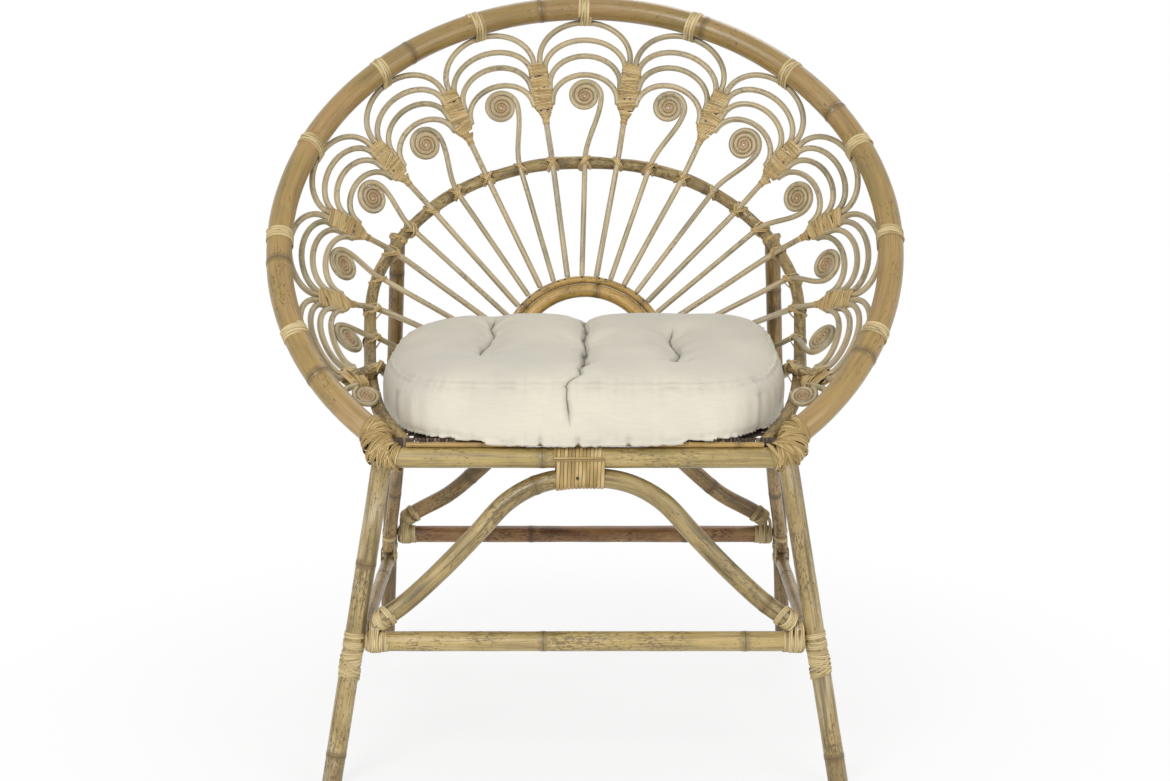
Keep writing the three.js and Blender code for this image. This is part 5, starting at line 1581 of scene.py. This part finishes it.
def cushion_shell():
    """The boxed shape before it is filled: rings from the middle of the base to the top."""
    right = [Vector((CUSHION_HALF_WIDTH * x, CUSHION_FRONT + CUSHION_DEPTH * y, 0))
             for x, y in CUSHION_PLAN_SHARES]
    plan = spline([Vector((0, CUSHION_FRONT, 0)), *right,
                   Vector((0, CUSHION_FRONT + CUSHION_DEPTH, 0)),
                   *[Vector((-p.x, p.y, 0)) for p in reversed(right)]], closed=True)
    around = 200
    edge = [plan(i / around) for i in range(around)]
    table = np.array(CUSHION_RINGS)
    rings = read_off(np.linspace(0, len(table) - 1, 45), np.arange(len(table)), table)
    points = [(0, CUSHION_MIDDLE, cushion_height(0, CUSHION_MIDDLE, 0))]
    for share, lift, crown in rings:
        for p in edge:
            x, y = cushion_plan(p, share)
            points.append((x, y, cushion_height(x, y, lift, crown)))
    points.append((0, CUSHION_MIDDLE, cushion_height(0, CUSHION_MIDDLE, 1, 1)))
    faces = []
    for i in range(around):
        n = (i + 1) % around
        faces.append((0, 1 + n, 1 + i))
        for a in range(1, 1 + (len(rings) - 1) * around, around):
            faces.append((a + i, a + n, a + around + n, a + around + i))
        a = 1 + (len(rings) - 1) * around
        faces.append((a + i, a + n, len(points) - 1))
    return points, faces, edge


def seam_distances(points, edge, share, lift):
    """Distance of each point to a boxed seam, and how far round the cushion it lies."""
    tree = kdtree.KDTree(len(edge) * 4)
    marks = []
    total = 0.0
    for i, p in enumerate(edge):
        q = edge[(i + 1) % len(edge)]
        for k in range(4):
            x, y = cushion_plan(lerp(p, q, k / 4), share)
            tree.insert((x, y, cushion_height(x, y, lift)), i * 4 + k)
            marks.append(total + (q - p).length * k / 4)
        total += (q - p).length
    tree.balance()
    found = [tree.find(p) for p in points]
    return np.array([f[2] for f in found]), np.array([marks[f[1]] for f in found])


def read_vectors(items, field):
    values = np.empty(len(items) * 3, dtype=np.float32)
    items.foreach_get(field, values)
    return values.reshape(-1, 3).astype(float)


def write_places(mesh, places):
    mesh.vertices.foreach_set("co", to_metres(places).astype(np.float32).ravel())


def fill_cushion(obj, rest, seam_gap):
    """Blows the cloth out between its seams, then limits how far it went."""
    held = obj.vertex_groups.new(name="held")
    for i, (x, y, z) in enumerate(rest):
        low = z < CUSHION_BOTTOM + 3
        pulled = z > CUSHION_BOTTOM + 50 and cushion_dip(x, y) > 10
        if low or pulled or seam_gap[i] < 3.5:
            held.add([i], 0.9 if pulled else 1.0, "REPLACE")
    cloth = obj.modifiers.new("Filling", "CLOTH")
    for setting, value in {
            "quality": 4, "mass": 0.3, "tension_stiffness": 12, "compression_stiffness": 12,
            "bending_stiffness": 0.4, "use_pressure": True, "uniform_pressure_force": 4,
            "vertex_group_mass": held.name}.items():
        setattr(cloth.settings, setting, value)
    cloth.settings.effector_weights.gravity = 0
    scene = bpy.context.scene
    for step in range(1, 21):
        scene.frame_set(step)
    bpy.ops.object.modifier_apply(modifier=cloth.name)
    scene.frame_set(1)
    moved = to_layout(read_vectors(obj.data.vertices, "co")) - rest
    far = np.linalg.norm(moved, axis=1)
    most = scene.chair_cushion.puff / MM
    keep = np.where(far > 1e-6, most * np.tanh(far / most) / np.maximum(far, 1e-6), 1)
    return rest + moved * keep[:, None]


def build_cushion():
    points, faces, edge = cushion_shell()
    obj = new_piece("linen_cushion", [tuple((Vector(p) + SHIFT) * MM) for p in points], faces)
    shell(obj, close_ends=False)
    remesh = obj.modifiers.new("Even cloth", "REMESH")
    remesh.mode = "VOXEL"
    remesh.voxel_size = 0.005
    bpy.ops.object.modifier_apply(modifier=remesh.name)
    rest = to_layout(read_vectors(obj.data.vertices, "co"))
    top_gap, around = seam_distances(rest, edge, *TOP_SEAM)
    base_gap, _ = seam_distances(rest, edge, *BASE_SEAM)
    for name, values in zip(CLOTH_LAYERS, (top_gap, base_gap, around, *rest.T)):
        store(obj.data, name, values)
    places = fill_cushion(obj, rest, np.minimum(top_gap, base_gap))
    places[:, 2] = np.maximum(places[:, 2], CUSHION_BOTTOM)
    write_places(obj.data, places)
    divide = obj.modifiers.new("Finer cloth", "SUBSURF")
    divide.levels = divide.render_levels = 1
    bpy.ops.object.modifier_apply(modifier=divide.name)
    sew_cushion(obj.data, bpy.context.scene.chair_cushion.seam / MM)
    bpy.ops.object.shade_smooth()
    settle(obj, "washed_linen", "seat_cushion")


def sew_cushion(mesh, seam):
    """Seams, puckers, channel and tufts, pressed into the finer mesh, with painted shade
    kept for their creases.
    """
    places = to_layout(read_vectors(mesh.vertices, "co"))
    normals = read_vectors(mesh.vertex_normals, "vector")
    layers = np.empty((len(CLOTH_LAYERS), len(places)), dtype=np.float32)
    for row, name in zip(layers, CLOTH_LAYERS):
        mesh.attributes[name].data.foreach_get("value", row)
    top_gap, base_gap, around, x, y, z = layers.astype(float)
    z -= CUSHION_BOTTOM
    lift = np.zeros(len(places))
    # crease_shade: painted shade in the seams, puckers, channel, pleats and tufts
    crease_shade = np.zeros(len(places))
    top = (z > 50 + 24 * smoothstep(y, 60, 330)) & (top_gap > 2)
    panel = ramp(z, CUSHION_SIDE, CUSHION_SIDE - 22)
    fine, broad = rolling(around / 7, 2, 0), rolling(around / 24, 5, 0)
    for gap, strength, ripple in ((top_gap, 1.0, 1.0), (base_gap, 1.2, 0.3)):
        lift -= strength * 2.2 * bell(gap, 7)
        lift += strength * (seam + 1.6) * bell(gap, 2.2) * (1 + 0.6 * ripple * fine)
        pucker = bell(gap, 12) * (1 - bell(gap, 3))
        lift += strength * pucker * (1.3 * ripple * fine + 1.4 * broad)
        crease_shade += 0.40 * bell(gap - 3.8, 1.7) * np.clip(0.3 + 1.6 * broad, 0, 1)
        crease_shade += 0.22 * pucker * np.clip(-fine * 2, 0, 1)
    # folds that run down the side panel, deeper at the front corners
    corner = bell(np.abs(x) - 214, 26) * (y < 110)
    lift += bell(z - 32, 26) * panel * rolling(around / 15, 9, 0) * (0.5 + 2.4 * corner)
    # a seam stands up each front corner of the side panel
    for cx, cy in ((-222.0, 62.0), (207.0, 42.0)):
        gap = np.hypot(x - cx, y - cy)
        lift += (2.6 * bell(gap, 3.0) * (z > 4) - 2.2 * bell(gap, 9)) * ~top
        crease_shade += 0.60 * bell(gap - 4.5, 2) * ~top
    # channel
    off = x - channel_bend(y)
    behind = np.maximum(ramp(y, CUSHION_FRONT + 6, CUSHION_FRONT + 30), 0.6) * top
    lift -= 5.5 * behind * bell(off, 3.0)
    crease_shade += 0.75 * behind * bell(off, 3.4)
    line_gap, line_mask = np.where(top, off, 50.0), np.clip(behind * 1.6, 0, 1)
    lift += 1.1 * behind * rolling(y / 11, 1, 4) * bell(off, 16)
    # front pinch under the channel
    beside = x + 21 + (z - 50) * 0.12
    height = ramp(z, 20, 36) * (y < 40) * ~top
    pinch = bell(beside, 3.0) * height
    lift -= 5.0 * pinch
    crease_shade += 0.75 * pinch
    near = (height > 0) & (np.abs(beside) < 30)
    line_gap, line_mask = np.where(near, beside, line_gap), np.where(near, height, line_mask)
    for at in (-52, -8, 51):
        pleat = bell(x - at, 3.0) * (y < 40) * bell(z - 4, 8)
        lift -= 2.6 * pleat
        crease_shade += 0.5 * pleat
    # tufts: a short sewn line with folds that fan out from its ends
    for cx, cy, reach in CREASES:
        sewn = bell(np.maximum(np.abs(y - cy) - reach * 0.8, 0), 9)
        wander = x - (cx + 4.0 * np.sin(y / 19.0 + cx) + 0.03 * (y - cy))
        line = bell(wander, 3.0) * sewn * top
        lift -= 5.0 * line
        crease_shade += 0.8 * line * (0.6 + 0.4 * np.cos((y - cy) / reach * 5))
        near = (np.abs(wander) < 40) & top
        line_gap, line_mask = np.where(near, wander, line_gap), np.where(near, sewn, line_mask)
        for end in (-1, 0.1, 1):
            ey = cy + end * reach * 0.6
            away = np.hypot(x - cx, y - ey)
            rays = np.cos(np.arctan2(y - ey, x - cx) * 3 + end * 2 + cx) * bell(away, 34) \
                * (1 - bell(away, 8)) * top
            lift += 1.9 * rays
            crease_shade += 0.18 * np.clip(-rays, 0, 1)
    # loose hang of the cloth
    lift += 1.6 * rolling(x / 60, y / 45, (z + CUSHION_BOTTOM) / 40)
    places += normals * lift[:, None]
    # the base seam lies just past the rail at the front
    low = ramp(places[:, 2], CUSHION_BOTTOM + 34, CUSHION_BOTTOM)
    middle = bell(places[:, 0], 190)
    places[:, 1] -= (5 + (2 + 5 * middle) * low) * ramp(places[:, 1], 60, 0) * panel
    places[:, 0] *= (CUSHION_HALF_WIDTH + 1.5) / np.abs(places[:, 0]).max()
    # the left side hangs out a little further, and draws in towards the back
    taper = ramp(places[:, 1], 150, 330)
    places[:, 0] *= np.where(places[:, 0] < 0, 1.014 - 0.04 * taper, 1.0)
    places[:, 2] = np.maximum(places[:, 2], CUSHION_BOTTOM)
    # past the rail the cloth sags below its top
    places[:, 2] -= (3 + 6 * middle) * smoothstep(places[:, 1], -4, -16) * low
    write_places(mesh, places)
    for name in CLOTH_LAYERS:
        mesh.attributes.remove(mesh.attributes[name])
    store(mesh, "crease_shade", np.clip(crease_shade, 0, 1))
    store(mesh, "line_gap", line_gap * MM)
    store(mesh, "line_mask", line_mask)
    mesh.update()


# Stage

def seen_straight(tree):
    """Whether a ray comes from the camera, or by way of a mirror or glass."""
    path = add(tree, "LightPath")
    seen = path.outputs["Is Camera Ray"]
    for ray in ("Is Glossy Ray", "Is Transmission Ray"):
        seen = add(tree, "Math", {0: seen, 1: path.outputs[ray]}, operation="MAXIMUM")
    return seen


def build_stage():
    """A plain pale floor, soft studio lamps and the camera."""
    select_only()
    bpy.ops.mesh.primitive_plane_add(size=14, location=(0, 3, -0.0002))
    floor = bpy.context.object
    floor.name = "floor"
    bpy.ops.object.transform_apply(location=True, rotation=True, scale=True)
    material = bpy.data.materials.new("matt_white_floor")
    tree = empty_tree(material)
    # away from the chair the floor runs out into plain white
    place = add(tree, "TexCoord").outputs["Object"]
    reach = add(tree, "VectorMath", {0: place}, operation="LENGTH")
    far = add(tree, "MapRange", {"Value": reach, "From Min": 0.3, "From Max": 1.0,
                                 "To Min": 0.78}, interpolation_type="SMOOTHSTEP")
    share = add(tree, "Math", {0: far, 1: seen_straight(tree)}, operation="MULTIPLY")
    matt = add(tree, "BsdfDiffuse", {"Color": shade(linear("#fbfbfb"), 1)})
    white = add(tree, "Emission", {"Color": (1, 1, 1, 1), "Strength": 1.0})
    surface = add(tree, "MixShader", {0: share, 1: matt, 2: white})
    add(tree, "OutputMaterial", {"Surface": surface})
    floor.data.materials.append(material)
    world = bpy.data.worlds.new("studio")
    tree = empty_tree(world)
    light, view = (add(tree, "Background", {"Color": (1, 1, 1, 1), "Strength": strength})
                   for strength in (0.50, 1.0))
    mix = add(tree, "MixShader", {0: seen_straight(tree), 1: light, 2: view})
    add(tree, "OutputWorld", {"Surface": mix})
    bpy.context.scene.world = world
    aim = Vector((0, 0, 0.45))
    for name, place, size, power in (("key_lamp", (-1.3, -2.8, 2.15), 1.6, 50),
                                     ("fill_lamp", (2.0, -2.4, 1.55), 1.8, 24),
                                     ("back_lamp", (0.4, 1.9, 2.6), 1.8, 20)):
        bpy.ops.object.light_add(type="AREA", location=place)
        lamp = bpy.context.object
        lamp.name = name
        lamp.data.shape = "DISK"
        lamp.data.size = size
        lamp.data.energy = power
        lamp.rotation_euler = (Vector(place) - aim).to_track_quat("Z", "Y").to_euler()
    # the camera that was fitted to the photo
    bpy.ops.object.camera_add(location=(0, -2.44675, 0.8785),
                              rotation=(math.radians(90 - 10.244), 0, 0))
    camera = bpy.context.object
    camera.name = "photo_camera"
    camera.data.sensor_width = 36
    camera.data.lens = 58.27
    bpy.context.scene.camera = camera
    bpy.context.scene.view_settings.view_transform = "Standard"


# Operators, one for each piece or group of like pieces

class CHAIR_OT_rim_pole(bpy.types.Operator):
    """Bend the thick golden pole round the back"""

    bl_idname = "chair.rim_pole"
    bl_label = "Rim pole"

    def execute(self, context):
        build_rim_pole()
        return {"FINISHED"}


class CHAIR_OT_bark_poles(bpy.types.Operator):
    """Bend the bark-on hoop and the rail behind the cushion"""

    bl_idname = "chair.bark_poles"
    bl_label = "Hoop and bent rail"

    def execute(self, context):
        build_bark_poles()
        return {"FINISHED"}


class CHAIR_OT_seat_rails(bpy.types.Operator):
    """Lay the front rail, its liner and the rear rail"""

    bl_idname = "chair.seat_rails"
    bl_label = "Seat rails"

    def execute(self, context):
        build_seat_rails()
        return {"FINISHED"}


class CHAIR_OT_heart_rings(bpy.types.Operator):
    """Bend the two half rings behind the cushion and nail them"""

    bl_idname = "chair.heart_rings"
    bl_label = "Heart rings"

    def execute(self, context):
        build_heart_rings()
        return {"FINISHED"}


class CHAIR_OT_legs(bpy.types.Operator):
    """Stand the four legs"""

    bl_idname = "chair.legs"
    bl_label = "Legs"

    def execute(self, context):
        build_legs()
        return {"FINISHED"}


class CHAIR_OT_stretchers(bpy.types.Operator):
    """Lay the four stretchers"""

    bl_idname = "chair.stretchers"
    bl_label = "Stretchers"

    def execute(self, context):
        build_stretchers()
        return {"FINISHED"}


class CHAIR_OT_braces(bpy.types.Operator):
    """Bend the four arched braces"""

    bl_idname = "chair.braces"
    bl_label = "Braces"

    def execute(self, context):
        build_braces()
        return {"FINISHED"}


class CHAIR_OT_scallops(bpy.types.Operator):
    """Bend the nested arches under the rim"""

    bl_idname = "chair.scallops"
    bl_label = "Nested arches"

    def execute(self, context):
        build_scallops()
        return {"FINISHED"}


class CHAIR_OT_scrolls(bpy.types.Operator):
    """Wind the scroll at the end of each scroll rod"""

    bl_idname = "chair.scrolls"
    bl_label = "Scroll rods"

    def execute(self, context):
        build_scrolls()
        return {"FINISHED"}


class CHAIR_OT_ribs(bpy.types.Operator):
    """Lay the ribs from the heart ring to the arches"""

    bl_idname = "chair.ribs"
    bl_label = "Ribs"

    def execute(self, context):
        build_ribs()
        return {"FINISHED"}


class CHAIR_OT_rim_bindings(bpy.types.Operator):
    """Wind the wide strips that hold the arches to the rim"""

    bl_idname = "chair.rim_bindings"
    bl_label = "Rim bindings"

    def execute(self, context):
        build_rim_bindings()
        return {"FINISHED"}


class CHAIR_OT_fan_lashings(bpy.types.Operator):
    """Wind the fine strands that hold the feet of the arches"""

    bl_idname = "chair.fan_lashings"
    bl_label = "Fan lashings"

    def execute(self, context):
        build_fan_lashings()
        return {"FINISHED"}


class CHAIR_OT_hoop_ties(bpy.types.Operator):
    """Tie the ribs and scroll rods to the hoop"""

    bl_idname = "chair.hoop_ties"
    bl_label = "Hoop ties"

    def execute(self, context):
        build_hoop_ties()
        return {"FINISHED"}


class CHAIR_OT_centre_binding(bpy.types.Operator):
    """Wind the strip that binds the front rail to its brace"""

    bl_idname = "chair.centre_binding"
    bl_label = "Centre binding"

    def execute(self, context):
        build_centre_binding()
        return {"FINISHED"}


class CHAIR_OT_leg_lashings(bpy.types.Operator):
    """Wind the strands round legs, stretchers and braces"""

    bl_idname = "chair.leg_lashings"
    bl_label = "Leg lashings"

    def execute(self, context):
        build_leg_lashings()
        return {"FINISHED"}


class CHAIR_OT_corner_lashings(bpy.types.Operator):
    """Wind the crossed strands at the two front corners"""

    bl_idname = "chair.corner_lashings"
    bl_label = "Corner lashings"

    def execute(self, context):
        build_corner_lashings()
        return {"FINISHED"}


class CHAIR_OT_deck(bpy.types.Operator):
    """Weave the deck under the cushion"""

    bl_idname = "chair.deck"
    bl_label = "Woven deck"

    def execute(self, context):
        build_deck()
        return {"FINISHED"}


class CHAIR_OT_cushion(bpy.types.Operator):
    """Sew and fill the loose seat cushion"""

    bl_idname = "chair.cushion"
    bl_label = "Cushion"

    def execute(self, context):
        build_cushion()
        return {"FINISHED"}


class CHAIR_OT_stage(bpy.types.Operator):
    """Set the floor, the lamps and the camera"""

    bl_idname = "chair.stage"
    bl_label = "Stage"

    def execute(self, context):
        build_stage()
        return {"FINISHED"}


PIECES = (
    CHAIR_OT_stage, CHAIR_OT_rim_pole, CHAIR_OT_bark_poles, CHAIR_OT_seat_rails,
    CHAIR_OT_heart_rings, CHAIR_OT_legs, CHAIR_OT_stretchers, CHAIR_OT_braces,
    CHAIR_OT_scallops, CHAIR_OT_scrolls, CHAIR_OT_ribs, CHAIR_OT_rim_bindings,
    CHAIR_OT_fan_lashings, CHAIR_OT_hoop_ties, CHAIR_OT_centre_binding,
    CHAIR_OT_leg_lashings, CHAIR_OT_corner_lashings, CHAIR_OT_deck, CHAIR_OT_cushion,
)


class CHAIR_PT_pieces(bpy.types.Panel):
    """Lists the pieces of the chair and their sizes"""

    bl_idname = "CHAIR_PT_pieces"
    bl_label = "Peacock armchair"
    bl_space_type = "VIEW_3D"
    bl_region_type = "UI"
    bl_category = "Chair"

    def draw(self, context):
        layout = self.layout
        scene = context.scene
        for group in (scene.chair_poles, scene.chair_cane, scene.chair_cushion,
                      scene.chair_finishes):
            box = layout.box()
            for name in group.__annotations__:
                box.prop(group, name)
        column = layout.column(align=True)
        for piece in PIECES:
            column.operator(piece.bl_idname)


GROUPS = (("chair_poles", PoleSizes), ("chair_cane", CaneSizes),
          ("chair_cushion", CushionSizes), ("chair_finishes", Finishes))


def register():
    for name, group in GROUPS:
        bpy.utils.register_class(group)
        setattr(bpy.types.Scene, name, PointerProperty(type=group))
    for piece in PIECES:
        bpy.utils.register_class(piece)
    bpy.utils.register_class(CHAIR_PT_pieces)


def unregister():
    bpy.utils.unregister_class(CHAIR_PT_pieces)
    for piece in reversed(PIECES):
        bpy.utils.unregister_class(piece)
    for name, group in reversed(GROUPS):
        delattr(bpy.types.Scene, name)
        bpy.utils.unregister_class(group)


def main():
    register()
    for piece in PIECES:
        _, name = piece.bl_idname.split(".")
        getattr(bpy.ops.chair, name)()


if __name__ == "__main__":
    main()
